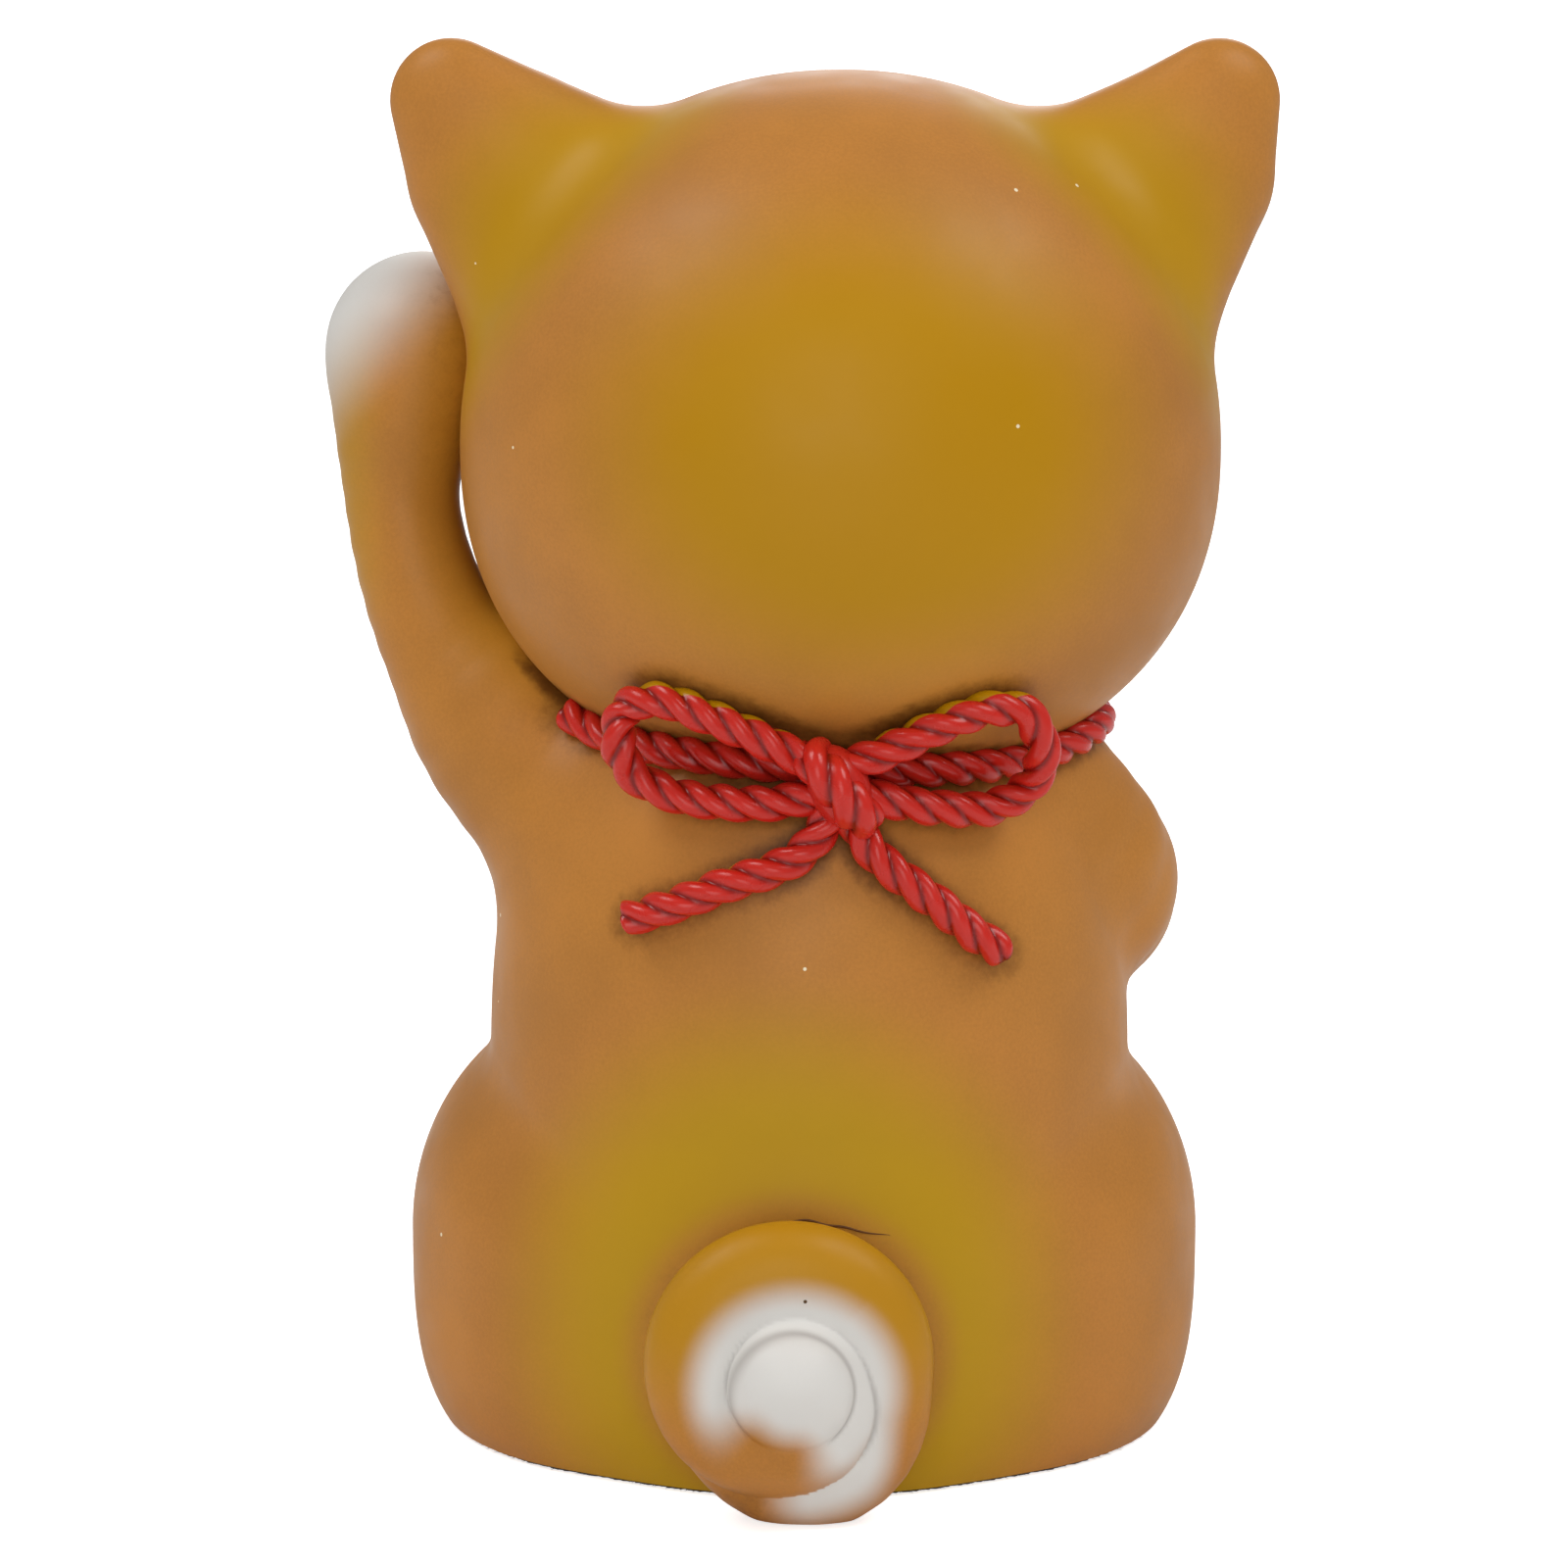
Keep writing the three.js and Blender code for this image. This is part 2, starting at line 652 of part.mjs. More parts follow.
function makeTailMass() {
  const bends = new TailCurl().getPoints(tailRods);
  const radiusAt = (i) => THREE.MathUtils.lerp(tailThickness, tailTipThickness, i / tailRods);
  const rods = bends
    .slice(1)
    .map((bend, i) => taperedRod(bends[i], bend, radiusAt(i), radiusAt(i + 1), tailFlatness));
  const curl = rods.reduce((whole, rod) => blend(whole, rod, tailFillet));
  const seatCentre = new THREE.Vector3(tailShift, tailSetBack, tailRise);
  const low = new THREE.Vector3(tailSeatRadius, tailSeatDepth, tailSeatRadius);
  const high = new THREE.Vector3(tailSeatRadius, tailFillDepth, tailSeatRadius);
  return blend(curl, egg(seatCentre, low, high, roundFullness, roundFullness), tailSeatFillet);
}

function tailCasting() {
  return solidOf(skinOf(makeTailMass(), tailCell))
    .subtract(bodyClearance)
    .subtract(blockBeyond(new THREE.Vector3(0, 0, tailFloorGap), down))
    .add(tailPeg(0));
}

// Cord routes

// The middle of the cord where the head meets the shoulders, at an angle round the neck.
function neckGroove(angle) {
  const across = Math.cos(angle * degrees);
  const back = Math.sin(angle * degrees);
  const halvings = 30;
  const onCrease = (radius) => {
    const point = new THREE.Vector3(headShift / 2 + radius * across, radius * back, 0);
    let low = torsoRise;
    let high = headRise;
    for (let i = 0; i < halvings; i++) {
      point.z = (low + high) / 2;
      const nearHead = headMass.at(point.x, point.y, point.z) < torsoMass.at(point.x, point.y, point.z);
      if (nearHead) high = point.z;
      else low = point.z;
    }
    return point;
  };
  let inner = 0;
  let outer = headHalfWidth;
  for (let i = 0; i < halvings; i++) {
    const point = onCrease((inner + outer) / 2);
    if (headMass.at(point.x, point.y, point.z) < cordLift) inner = (inner + outer) / 2;
    else outer = (inner + outer) / 2;
  }
  return onCrease((inner + outer) / 2);
}

const neckPoints = [];
for (let angle = neckCordStart; angle <= neckCordEnd; angle += neckCordSpacing) {
  neckPoints.push(neckGroove(angle));
}
const neckRoute = new THREE.CatmullRomCurve3(neckPoints);

// The bow is tied over the neck cord, so it is seated on the castings and on that cord.
const neckCordMass = neckPoints
  .slice(1)
  .map((point, i) => taperedRod(neckPoints[i], point, cordRadius, cordRadius))
  .reduce((whole, rod) => blend(whole, rod, rodFillet));
const bowSaddle = blend(blend(headMass, bodyMass, bowBridge), neckCordMass, rodFillet);
const backOfNeck = neckGroove(90);
const knotPlace = new THREE.Vector2(backOfNeck.x - knotAside, backOfNeck.z - knotBelow);
const knotCentre = seatBehind(bowSaddle, knotPlace.x, knotPlace.y, knotHalfDepth);

// A cord route through places to the left of the knot and above it, seen on the dog's back, each
// with a lift off what the cord lies on.
function bowRoute(places) {
  const seats = places.map(([left, up, lift = 0]) =>
    seatBehind(bowSaddle, knotPlace.x + left, knotPlace.y + up, cordLift + lift),
  );
  return new THREE.CatmullRomCurve3(seats);
}

const leftLoopRoute = bowRoute([
  [-0.5, 1.0],
  [3.0, 2.2],
  [5.7, 3.5],
  [9.1, 5.2],
  [12.9, 6.3],
  [15.6, 5.2, 0.5],
  [16.3, 2.7, 1.4],
  [15.2, 0.3, 0.9],
  [11.6, -1.0, 0.2],
  [7.5, -1.4],
  [3.9, -1.2],
  [-0.6, -0.1],
]);
const rightLoopRoute = bowRoute([
  [0.5, 1.0],
  [-3.1, 2.4],
  [-6.6, 4.1],
  [-10.3, 5.3],
  [-13.3, 4.8, 0.5],
  [-14.8, 1.9, 1.4],
  [-13.9, -0.9, 0.9],
  [-10.6, -2.2, 0.2],
  [-6.7, -1.9],
  [-3.5, -1.2],
  [0.6, -0.1],
]);
const leftEndRoute = bowRoute([
  [0.0, -0.9],
  [1.6, -3.7],
  [3.1, -5.1],
  [5.1, -6.0],
  [7.7, -6.9],
  [10.9, -8.3],
  [14.7, -9.8],
]);
const rightEndRoute = bowRoute([
  [-0.3, -0.9],
  [-1.6, -3.7],
  [-2.9, -5.3],
  [-4.6, -6.7],
  [-6.9, -8.5],
  [-9.3, -10.6],
  [-11.7, -12.4],
]);
const knotWrapRoute = new THREE.CatmullRomCurve3(
  [[1.9, -0.9, 2.2], [1.5, 0.9, 1.8], [0.3, 1.6, 0.4], [-1.2, 0.9, -1.6], [-1.8, -0.9, -2.4]].map(
    ([x, y, z]) => knotCentre.clone().add(new THREE.Vector3(x, y, z)),
  ),
);

// The section of the cord: a rosette with one rounded lobe for each strand.
function cordSection() {
  const count = strandCount * pointsPerStrand;
  const points = [];
  for (let i = 0; i < count; i++) {
    const angle = (i / count) * 2 * Math.PI;
    const valley = 0.5 - 0.5 * Math.cos(strandCount * angle);
    const radius = cordRadius - strandDepth * valley;
    points.push(new THREE.Vector2(radius * Math.cos(angle), radius * Math.sin(angle)));
  }
  return new THREE.Shape(points);
}

// Lays a straight shape that was extruded along +Z onto a route, twisting it on the way.
function layOnto(straight, route, length, steps, turns) {
  const frames = route.computeFrenetFrames(steps, false);
  const position = straight.attributes.position;
  for (let i = 0; i < position.count; i++) {
    const share = position.getZ(i) / length;
    const step = Math.round(share * steps);
    const radius = Math.hypot(position.getX(i), position.getY(i));
    const angle = Math.atan2(position.getY(i), position.getX(i)) + 2 * Math.PI * turns * share;
    const point = route.getPointAt(step / steps);
    point.addScaledVector(frames.normals[step], radius * Math.cos(angle));
    point.addScaledVector(frames.binormals[step], radius * Math.sin(angle));
    position.setXYZ(i, point.x, point.y, point.z);
  }
  return solidOf(straight);
}

// One twisted cord; its steps match the points of its section, so that each strand stays unbroken.
function laidCord(route) {
  const depth = route.getLength();
  const steps = Math.round((depth / strandPitch) * strandCount * pointsPerStrand);
  const straight = new THREE.ExtrudeGeometry(cordSection(), { depth, steps, bevelEnabled: false });
  return layOnto(straight, route, depth, steps, cordHand * (depth / strandPitch));
}

// The room that a cord and its glue take up: a plain tube round the route.
function cordClearance(route) {
  const depth = route.getLength();
  const sides = 10;
  const steps = Math.ceil(depth / (2 * cordRadius));
  const radius = (cordRadius + glueGap) / Math.cos(Math.PI / sides);
  const circle = new THREE.Shape().absarc(0, 0, radius, 0, 2 * Math.PI);
  const extrusion = { depth, steps, bevelEnabled: false, curveSegments: sides };
  return layOnto(new THREE.ExtrudeGeometry(circle, extrusion), route, depth, steps, 0);
}

const knotBall = (clearance) => {
  const halfSize = new THREE.Vector3(knotHalfWidth, knotHalfDepth, knotHalfHeight).addScalar(clearance);
  const place = new THREE.Matrix4().makeRotationY(knotTilt * degrees);
  place.setPosition(knotCentre).scale(halfSize);
  return solidOf(new THREE.SphereGeometry(1, 14, 10), place);
};
const knotBack = knotCentre.clone().setY(knotCentre.y - 2 * knotHalfDepth);
const knotCore = pin(knotBack, axisY, knotHalfWidth + glueGap, 3 * knotHalfDepth);
const knotClearance = knotBall(glueGap).add(cordClearance(knotWrapRoute)).add(knotCore);
const neckCordClearance = cordClearance(neckRoute);
const loopClearance = cordClearance(leftLoopRoute).add(cordClearance(rightLoopRoute));

const seated = (solid) => solid.subtract(headClearance).subtract(bodyClearance);
const bowPiece = (route) => laidCord(route).subtract(neckCordClearance).subtract(knotClearance);
const bowEnd = (route) => bowPiece(route).subtract(loopClearance);

function bowKnot() {
  return seated(knotBall(0).add(laidCord(knotWrapRoute))).subtract(neckCordClearance);
}

// A cast bell: a ball with a raised band round its middle and a slot across its foot.
function bellCasting() {
  const half = bellRimHeight / 2;
  const bandAngle = Math.asin(half / bellRadius);
  const profile = [];
  const arcSteps = 5;
  for (let i = 0; i <= arcSteps; i++) {
    const angle = THREE.MathUtils.lerp(-Math.PI / 2, -bandAngle, i / arcSteps);
    profile.push(new THREE.Vector2(bellRadius * Math.cos(angle), bellRadius * Math.sin(angle)));
  }
  profile.push(new THREE.Vector2(bellRimRadius, -half));
  profile.push(new THREE.Vector2(bellRimRadius, half));
  for (let i = 0; i <= arcSteps; i++) {
    const angle = THREE.MathUtils.lerp(bandAngle, Math.PI / 2, i / arcSteps);
    profile.push(new THREE.Vector2(bellRadius * Math.cos(angle), bellRadius * Math.sin(angle)));
  }
  profile[0].x = 0;
  profile.at(-1).x = 0;
  const body = new THREE.LatheGeometry(profile, 18).rotateX(Math.PI / 2);
  const slot = new THREE.BoxGeometry(2 * bellRadius, bellSlot, bellSlotDepth);
  slot.translate(0, 0, -bellRadius);
  const place = new THREE.Matrix4().makeTranslation(bellCentre);
  const bell = solidOf(body, place).subtract(solidOf(slot, place));
  return seated(bell).subtract(neckCordClearance).add(bellPeg(0));
}

// The oval coin lies on the belly under the folded paw: a rim round a recessed field.
function coinCasting() {
  const curveSegments = 20;
  const oval = (inset) => {
    const shape = new THREE.Shape();
    return shape.absellipse(0, 0, coinHalfWidth - inset, coinHalfHeight - inset, 0, 2 * Math.PI);
  };
  const plate = new THREE.ExtrudeGeometry(oval(coinBevel), {
    depth: coinThickness - 2 * coinBevel,
    bevelThickness: coinBevel,
    bevelSize: coinBevel,
    bevelSegments: 1,
    curveSegments,
  });
  plate.translate(0, 0, coinBevel);
  const fieldCut = { depth: 2 * coinRecess, bevelEnabled: false, curveSegments };
  const field = new THREE.ExtrudeGeometry(oval(coinRim), fieldCut);
  field.translate(0, 0, coinThickness - coinRecess);
  const turn = new THREE.Euler((90 - coinLean) * degrees, coinRoll * degrees, 0);
  const place = new THREE.Matrix4().makeRotationFromEuler(turn).setPosition(coinSeat);
  const coin = solidOf(plate, place).subtract(solidOf(field, place));
  return coin.subtract(bodyClearance).add(coinPeg(0));
}

// The felt follows the outline of the base, drawn in a little.
function feltPad() {
  const points = [];
  for (let i = 0; i < feltPoints; i++) {
    const angle = (i / feltPoints) * 2 * Math.PI;
    const outward = new THREE.Vector3(Math.cos(angle), Math.sin(angle), 0);
    const start = new THREE.Vector3(0, 0, feltTop).addScaledVector(outward, farOutside);
    const edge = walkTo(bodyMass, start, outward.clone().negate(), 0);
    edge.addScaledVector(outward, -feltInset);
    points.push(new THREE.Vector2(edge.x, edge.y));
  }
  const sheet = { depth: feltThickness, bevelEnabled: false };
  return solidOf(new THREE.ExtrudeGeometry(new THREE.Shape(points), sheet));
}

const group = new THREE.Group();

function addPiece(name, solid, color, roughness, metalness) {
  const material = new THREE.MeshStandardMaterial({ color, roughness, metalness });
  const mesh = new THREE.Mesh(geometryOf(solid), material);
  mesh.name = name;
  group.add(mesh);
}

addPiece('torso_casting', torsoCasting(), '#b9803c', 0.45, 0);
addPiece('head_casting', headCasting(), '#bd8440', 0.45, 0);
addPiece('raised_arm_casting', raisedArmCasting(), '#b9803c', 0.45, 0);
addPiece('tail_casting', tailCasting(), '#c9b59a', 0.45, 0);
addPiece('neck_cord', seated(laidCord(neckRoute)), '#bb2f22', 0.55, 0);
addPiece('bow_loop_left', bowPiece(leftLoopRoute), '#bb2f22', 0.55, 0);
addPiece('bow_loop_right', bowPiece(rightLoopRoute), '#bb2f22', 0.55, 0);
addPiece('bow_end_left', bowEnd(leftEndRoute), '#bb2f22', 0.55, 0);
addPiece('bow_end_right', bowEnd(rightEndRoute), '#bb2f22', 0.55, 0);
addPiece('bow_knot', bowKnot(), '#bb2f22', 0.55, 0);
addPiece('bell_casting', bellCasting(), '#c9a24a', 0.3, 0);
addPiece('coin_casting', coinCasting(), '#c9a24a', 0.3, 0);
addPiece('felt_pad', feltPad(), '#3a322c', 0.95, 0);

export default group;
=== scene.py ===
"""Seated beckoning dog, a hand painted cold cast resin figurine, finished around its fixed frame.

The castings are level surfaces of rounded masses that flow together through fillets, as a sculptor
builds up clay. The cords, bell, coin, felt and painted details are surfaces of two parameters.
Places are written in millimetres in the frame of the castings: +X is the dog's own left, the dog
faces -Y, and the felt rests on z = 0.
"""

import math

import bmesh
import bpy
import numpy as np
from bpy.props import FloatProperty, FloatVectorProperty, IntProperty, PointerProperty
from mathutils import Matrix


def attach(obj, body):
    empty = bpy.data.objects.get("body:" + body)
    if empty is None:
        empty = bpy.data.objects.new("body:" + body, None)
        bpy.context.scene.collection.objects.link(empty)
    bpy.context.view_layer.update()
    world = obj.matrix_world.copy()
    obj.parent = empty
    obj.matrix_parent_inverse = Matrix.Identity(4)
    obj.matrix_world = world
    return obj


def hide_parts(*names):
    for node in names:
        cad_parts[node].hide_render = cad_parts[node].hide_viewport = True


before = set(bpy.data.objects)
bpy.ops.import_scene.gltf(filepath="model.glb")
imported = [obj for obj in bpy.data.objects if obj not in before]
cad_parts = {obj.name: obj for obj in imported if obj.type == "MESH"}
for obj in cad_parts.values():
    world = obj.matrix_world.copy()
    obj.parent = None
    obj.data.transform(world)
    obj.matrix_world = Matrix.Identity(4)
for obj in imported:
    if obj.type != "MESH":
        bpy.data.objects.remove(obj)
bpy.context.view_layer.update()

bl_info = {
    "name": "Beckoning Dog Figurine",
    "version": (1, 0, 0),
    "blender": (4, 5, 0),
    "location": "3D View > Sidebar > Figurine",
    "description": "Builds the painted castings, cord bow, bell, coin and felt of a beckoning dog",
    "category": "Add Mesh",
}

BODY = "root"
MM = 0.001

# What keeps a division from failing, the fullness of a plain egg, and a place outside the figurine
TINY = 1e-9
ROUND = 2.0
FAR_OUT = 60.0

# How finely things are worked out
RODS_PER_BEND = 4
ROD_FILLET = 0.2
WALK_STEPS = 60
WALK_SHARE = 0.8
HALVINGS = 30
NET_STRIDE = 4
NET_BAND = 6
NET_SLIDES = 5
SLOPE_STEP = 0.02
STEEPEST_ROD = 0.95
BOW_POINTS = 16
NECK_POINTS = 8
KNOT_POINTS = 12

# Head: place, then reach to the low and the high side of each axis
HEAD_CENTRE = np.array([-2.5, -2.0, 71.0])
HEAD_LOW = (26.6, 21.5, 23.4)
HEAD_HIGH = (26.6, 23.0, 26.4)
CROWN_FULLNESS = 2.1
CHIN_FULLNESS = 2.22
CHEEK_OFFSET = np.array([11.5, -10.5, -9.0])
CHEEK_SIZE = (11.5, 10.5, 9.8)
CHEEK_FILLET = 6.0
MUZZLE_OFFSET = np.array([0.0, -18.5, -9.5])
MUZZLE_SIZE = (9.6, 9.4, 6.5)
MUZZLE_FILLET = 5.0
NOSE_SIZE = np.array([3.0, 2.1, 2.0])
NOSE_RISE = -5.9
EYE_SIZE = np.array([2.1, 0.9, 2.1])
EYE_SPREAD = 9.2
EYE_RISE = 1.6
ENAMEL_RIM = (-0.55, 0.1)

# Ears, from the centre of the head
EAR_ROOT = np.array([18.1, -0.8, 14.4])
EAR_MIDDLE = np.array([23.0, -1.4, 19.2])
EAR_TIP_LEFT = np.array([27.0, -1.6, 24.15])
EAR_TIP_RIGHT = np.array([26.2, -1.6, 24.15])
EAR_RADII = (9.9, 7.3, 4.4)
EAR_FLATNESS = 0.62
EAR_TURN = 0.17
EAR_FILLET = 2.8
EAR_HOLLOW_ADVANCE = 6.4
EAR_HOLLOW_RADII = (7.2, 3.2)
EAR_HOLLOW_FILLET = 1.5

# Torso, haunches, rump and feet
TORSO_CENTRE = np.array([0.0, -1.5, 25.0])
TORSO_LOW = (23.0, 20.0, 33.0)
TORSO_HIGH = (22.3, 19.0, 31.5)
TORSO_FULLNESS = 2.8
HAUNCH_CENTRE = np.array([13.4, -5.5, 14.0])
HAUNCH_LOW = (14.8, 18.0, 18.0)
HAUNCH_HIGH = (14.8, 18.0, 16.5)
HAUNCH_FULLNESS = (3.2, 2.0)
HAUNCH_FILLET = 2.0
RUMP_CENTRE = np.array([0.0, 0.0, 10.0])
RUMP_LOW = (20.0, 16.5, 16.0)
RUMP_HIGH = (20.0, 16.5, 15.0)
RUMP_FULLNESS = 3.2
RUMP_FILLET = 6.0
FOOT_CENTRE = np.array([14.5, -23.5, 4.0])
FOOT_SIZE = (6.8, 8.5, 5.6)
FOOT_FULLNESS = 2.2
FOOT_FILLET = 2.0

# Arms
RAISED_ARM = np.array([
    [12.5, -2.0, 43.0],
    [20.0, -4.5, 49.9],
    [25.9, -6.5, 57.3],
    [28.5, -8.0, 66.0],
    [28.0, -9.0, 74.0],
    [27.1, -10.5, 76.6],
])
RAISED_ARM_RADII = np.array([8.2, 7.1, 4.5, 4.0, 5.4, 6.2])
RAISED_PAW_CENTRE = np.array([27.1, -12.5, 76.6])
RAISED_PAW_LOW = (6.3, 8.0, 6.3)
RAISED_PAW_HIGH = (6.3, 6.3, 6.3)
PAW_FILLET = 3.0
ARM_FILLET = 3.5
SHOULDER_ALONG_ARM = 7.2
FOLDED_ARM = np.array([
    [-13.2, -2.0, 46.6],
    [-18.7, -5.5, 39.4],
    [-17.2, -14.5, 36.4],
    [-8.0, -21.5, 36.8],
])
FOLDED_ARM_RADII = np.array([8.3, 7.9, 6.4, 5.9])
FOLDED_ARM_FILLET = 1.8

# Tail: its middle line as seen from behind, from the root under the rump to the domed tip
TAIL_CENTRE = np.array([1.15, 21.0, 11.65])
TAIL_START = -140.0
TAIL_SWEEP = 740.0
TAIL_SPREAD = 5.25
TAIL_SPREAD_POWER = 1.5
TAIL_OUTER = 5.75
TAIL_ROOT_SWING = 2.4
TAIL_ROOT_ANGLE = -74.0
TAIL_ROOT_SPAN = 68.0
TAIL_WIND_IN = (215.0, 360.0)
TAIL_INNER = 0.95
TAIL_TIP = 0.3
TAIL_TIP_DROP = (1.7, 0.6)
TAIL_TIP_SHIFT = 0.5
TAIL_THICKNESS = (4.15, 4.0)
TAIL_FLATNESS = 0.7
TAIL_CREASE = 0.25
TAIL_SOFT_CREASE = 5.0
TAIL_RODS = 84
TAIL_TURN_FROM = 215.0
TAIL_TIP_FROM = 440.0
TAIL_PAINT_CENTRE = (0.44, -1.68)
TAIL_SEAT_LOW = (7.5, 6.0, 7.5)
TAIL_SEAT_HIGH = (7.5, 4.2, 7.5)
TAIL_SEAT_FILLET = 1.0
TAIL_FLOOR_GAP = 0.3
TAIL_JOINT = np.array([
    [-3.0, 9.75],
    [-1.5, 10.2],
    [0.0, 10.3],
    [1.3, 10.45],
    [2.6, 10.1],
    [3.8, 9.95],
    [5.3, 9.5],
    [7.0, 9.25],
])
TAIL_JOINT_RADIUS = 0.09
TAIL_JOINT_DROP = 1.5
TAIL_JOINT_DARKNESS = 0.8

# Base and felt
BASE_RISE = 0.36
FELT_THICKNESS = 0.34
FELT_SIDES = 720
FIBRE_RADIUS = 0.03
FIBRE_SPREAD = 0.55
FIBRE_SHARES = (0.4, 1.0)
FIBRE_INSET = 0.05
FIBRE_SEED = 11
FELT_INSET = 0.55
FELT_WAVES = ((0.06, 53, 0), (0.05, 131, 1), (0.05, 217, 0))
FELT_PROFILE = ((0.3, 0.0), (0.9, 0.0), (0.995, 0.04), (1.0, 0.17), (0.995, 0.32), (0.3, FELT_THICKNESS))
FIBRE_ROOTS = (0.08, 0.28)
FIBRE_TIPS = (0.03, 0.5)

# Places of the bow from the knot, seen on the dog's back: left, up, and a lift off what lies under
LEFT_LOOP = (
    (-0.5, 1.0, 0.0), (3.0, 2.2, 0.0), (5.7, 3.5, 0.0), (9.1, 4.9, 0.0),
    (12.3, 5.8, 0.0), (14.5, 5.0, 0.5), (15.1, 2.8, 1.4), (14.2, 0.4, 0.9),
    (11.6, -1.0, 0.2), (7.5, -1.4, 0.0), (3.9, -1.2, 0.0), (-0.6, -0.1, 0.0),
)
RIGHT_LOOP = (
    (0.5, 1.0, 0.0), (-3.1, 2.4, 0.0), (-6.6, 4.1, 0.0), (-10.3, 5.3, 0.0),
    (-12.7, 4.8, 0.5), (-13.9, 2.1, 1.4), (-13.1, -0.7, 0.9), (-10.6, -2.2, 0.2),
    (-6.7, -1.9, 0.0), (-3.5, -1.2, 0.0), (0.6, -0.1, 0.0),
)
LEFT_END = (
    (0.0, -0.9, 0.0), (1.6, -3.7, 0.0), (3.1, -5.1, 0.0), (5.1, -6.0, 0.0),
    (7.7, -6.9, 0.0), (10.9, -8.3, 0.0), (14.7, -9.8, 0.0),
)
RIGHT_END = (
    (-0.3, -0.9, 0.0), (-1.6, -3.7, 0.0), (-2.9, -5.3, 0.0), (-4.6, -6.7, 0.0),
    (-6.9, -8.5, 0.0), (-9.3, -10.6, 0.0), (-11.7, -12.4, 0.0),
)
KNOT_ASIDE = 1.05
KNOT_BELOW = 0.44
KNOT_SIZE = np.array([2.1, 2.0, 3.1])
KNOT_TILT = 24.0
KNOT_SUNK = 0.6
KNOT_WRAP = np.array([
    [1.9, -0.9, 2.2],
    [1.5, 0.9, 1.8],
    [0.3, 1.6, 0.4],
    [-1.2, 0.9, -1.6],
    [-1.8, -0.9, -2.4],
])
NECK_ANGLES = np.arange(9.0, 334.0, 6.0)
BOW_BRIDGE = 8.0

# Bell and coin, which hang and lie in front. The bell's rim has a radius, half its width and a fade.
# The coin's band lies at a share of its reach, with a width and a rise
BELL_RADIUS = 3.7
BELL_LOWER = -0.1
BELL_RIM = (4.2, 0.45, 0.2)
# How far out from the band's edge the bell's wash and painted shade lie, and how strong they are
BELL_RIM_WASH_AND_SHADE = (0.25, 0.8)
BELL_DROP = 4.0
BELL_LIFT = 2.9
BELL_SLOT_WIDTH = (0.28, 0.5)
BELL_SLOT_REACH = (2.5, 2.8)
BELL_HOLE_WIDTH = (0.5, 0.75)
BELL_HOLE_ASIDE = 2.6
BELL_SUNK = 1.0
BELL_ROWS = 120
BELL_SIDES = 160
COIN_SIZE = (7.0, 11.5, 1.9)
COIN_RIM = (1.05, 1.35)
COIN_RECESS = 0.35
COIN_PLACE = (1.6, 27.5)
COIN_LEAN = 14.0
COIN_ROLL = -10.0
COIN_PROUD = 1.0
COIN_RIPPLE = (0.13, 1.15)
COIN_WAVE = (0.35, 1.1)
COIN_INSIDE = 0.36
COIN_CLEAR = (0.1, 1.0)
COIN_BAND = (0.42, 0.035, 0.3)
COIN_ROWS = 70
COIN_SIDES = 220
COIN_EDGE = 0.3
COIN_WALLS = ((1.0, 0.5 * COIN_SIZE[2]), (0.99, 0.1), (0.92, -2.4), (0.02, -2.4))

# Cord: its radius over the strands, and how far its middle lies off the castings
CORD_RADIUS = 1.3
CORD_LIFT = 1.0
NECK_CORD_LIFT = 0.8
STRAND_SHARE = 0.57
CORD_GROOVE_LIFT = 1.8
CORD_SIDES = 45
CORD_STEP = 0.125
CORD_END_REACH = 0.12
KNOT_WRAP_SCALE = 1.22
# Painted shade on the knot's core: how far towards the darkest red between the strands it is painted
KNOT_CORE_SHADE = 0.5

# Where red was missed: on the upper side of a cord near the casting, and at its foot
MISSED_SIDE = (0.6, 0.95)
MISSED_OFF = (0.9, 1.4)
MISSED_FOOT = (0.15, 0.6)

# Camera: the photograph's view from behind
CAMERA_PLACE = (0.001448, 0.48907, 0.15136)
CAMERA_ELEVATION = 12.0
CAMERA_LENS = 163.1
CAMERA_SENSOR = 36.0
CAMERA_CLIP = (0.01, 20.0)

# Lamps: place, size and power in watts. The world lights at one strength and is seen white
LAMPS = (
    ("soft_left", (0.36, 0.10, 0.56), 0.34, 1.45),
    ("soft_right", (-0.36, 0.14, 0.54), 0.34, 1.45),
    ("fill_behind", (0.05, 0.95, 0.30), 0.6, 2.0),
    ("fill_front", (-0.10, -0.95, 0.40), 0.6, 2.0),
)
LAMP_AIM = np.array([0.0, 0.0, 0.05])
WORLD_LIGHT = 0.34
FLOOR_GLOW = 0.72
FLOOR_HALF = 4.0


class FigurineSizes(bpy.types.PropertyGroup):
    """Sizes of the surface detail"""

    skin_cell: FloatProperty(
        name="Skin cell", description="Lattice step of the skins of head, torso and arm",
        default=0.00042, min=0.0002, max=0.002, precision=5, unit="LENGTH")
    tail_cell: FloatProperty(
        name="Tail cell", description="Lattice step of the tail skin",
        default=0.00026, min=0.0001, max=0.002, precision=5, unit="LENGTH")
    strand_pitch: FloatProperty(
        name="Strand pitch", description="Length in which a strand goes once round the cord",
        default=0.0070, min=0.003, max=0.02, precision=5, unit="LENGTH")
    felt_fuzz: FloatProperty(
        name="Felt fuzz", description="Length of the fibres at the rim of the felt",
        default=0.0006, min=0.0, max=0.002, precision=5, unit="LENGTH")
    felt_fibres: IntProperty(
        name="Felt fibres", description="Loose fibres round the rim of the felt",
        default=700, min=0, max=4000)


def screen_colour(name, description, default):
    """A colour property whose values are the ones that a screen shows."""
    return FloatVectorProperty(
        name=name, description=description, subtype="COLOR_GAMMA", default=default, min=0.0, max=1.0)


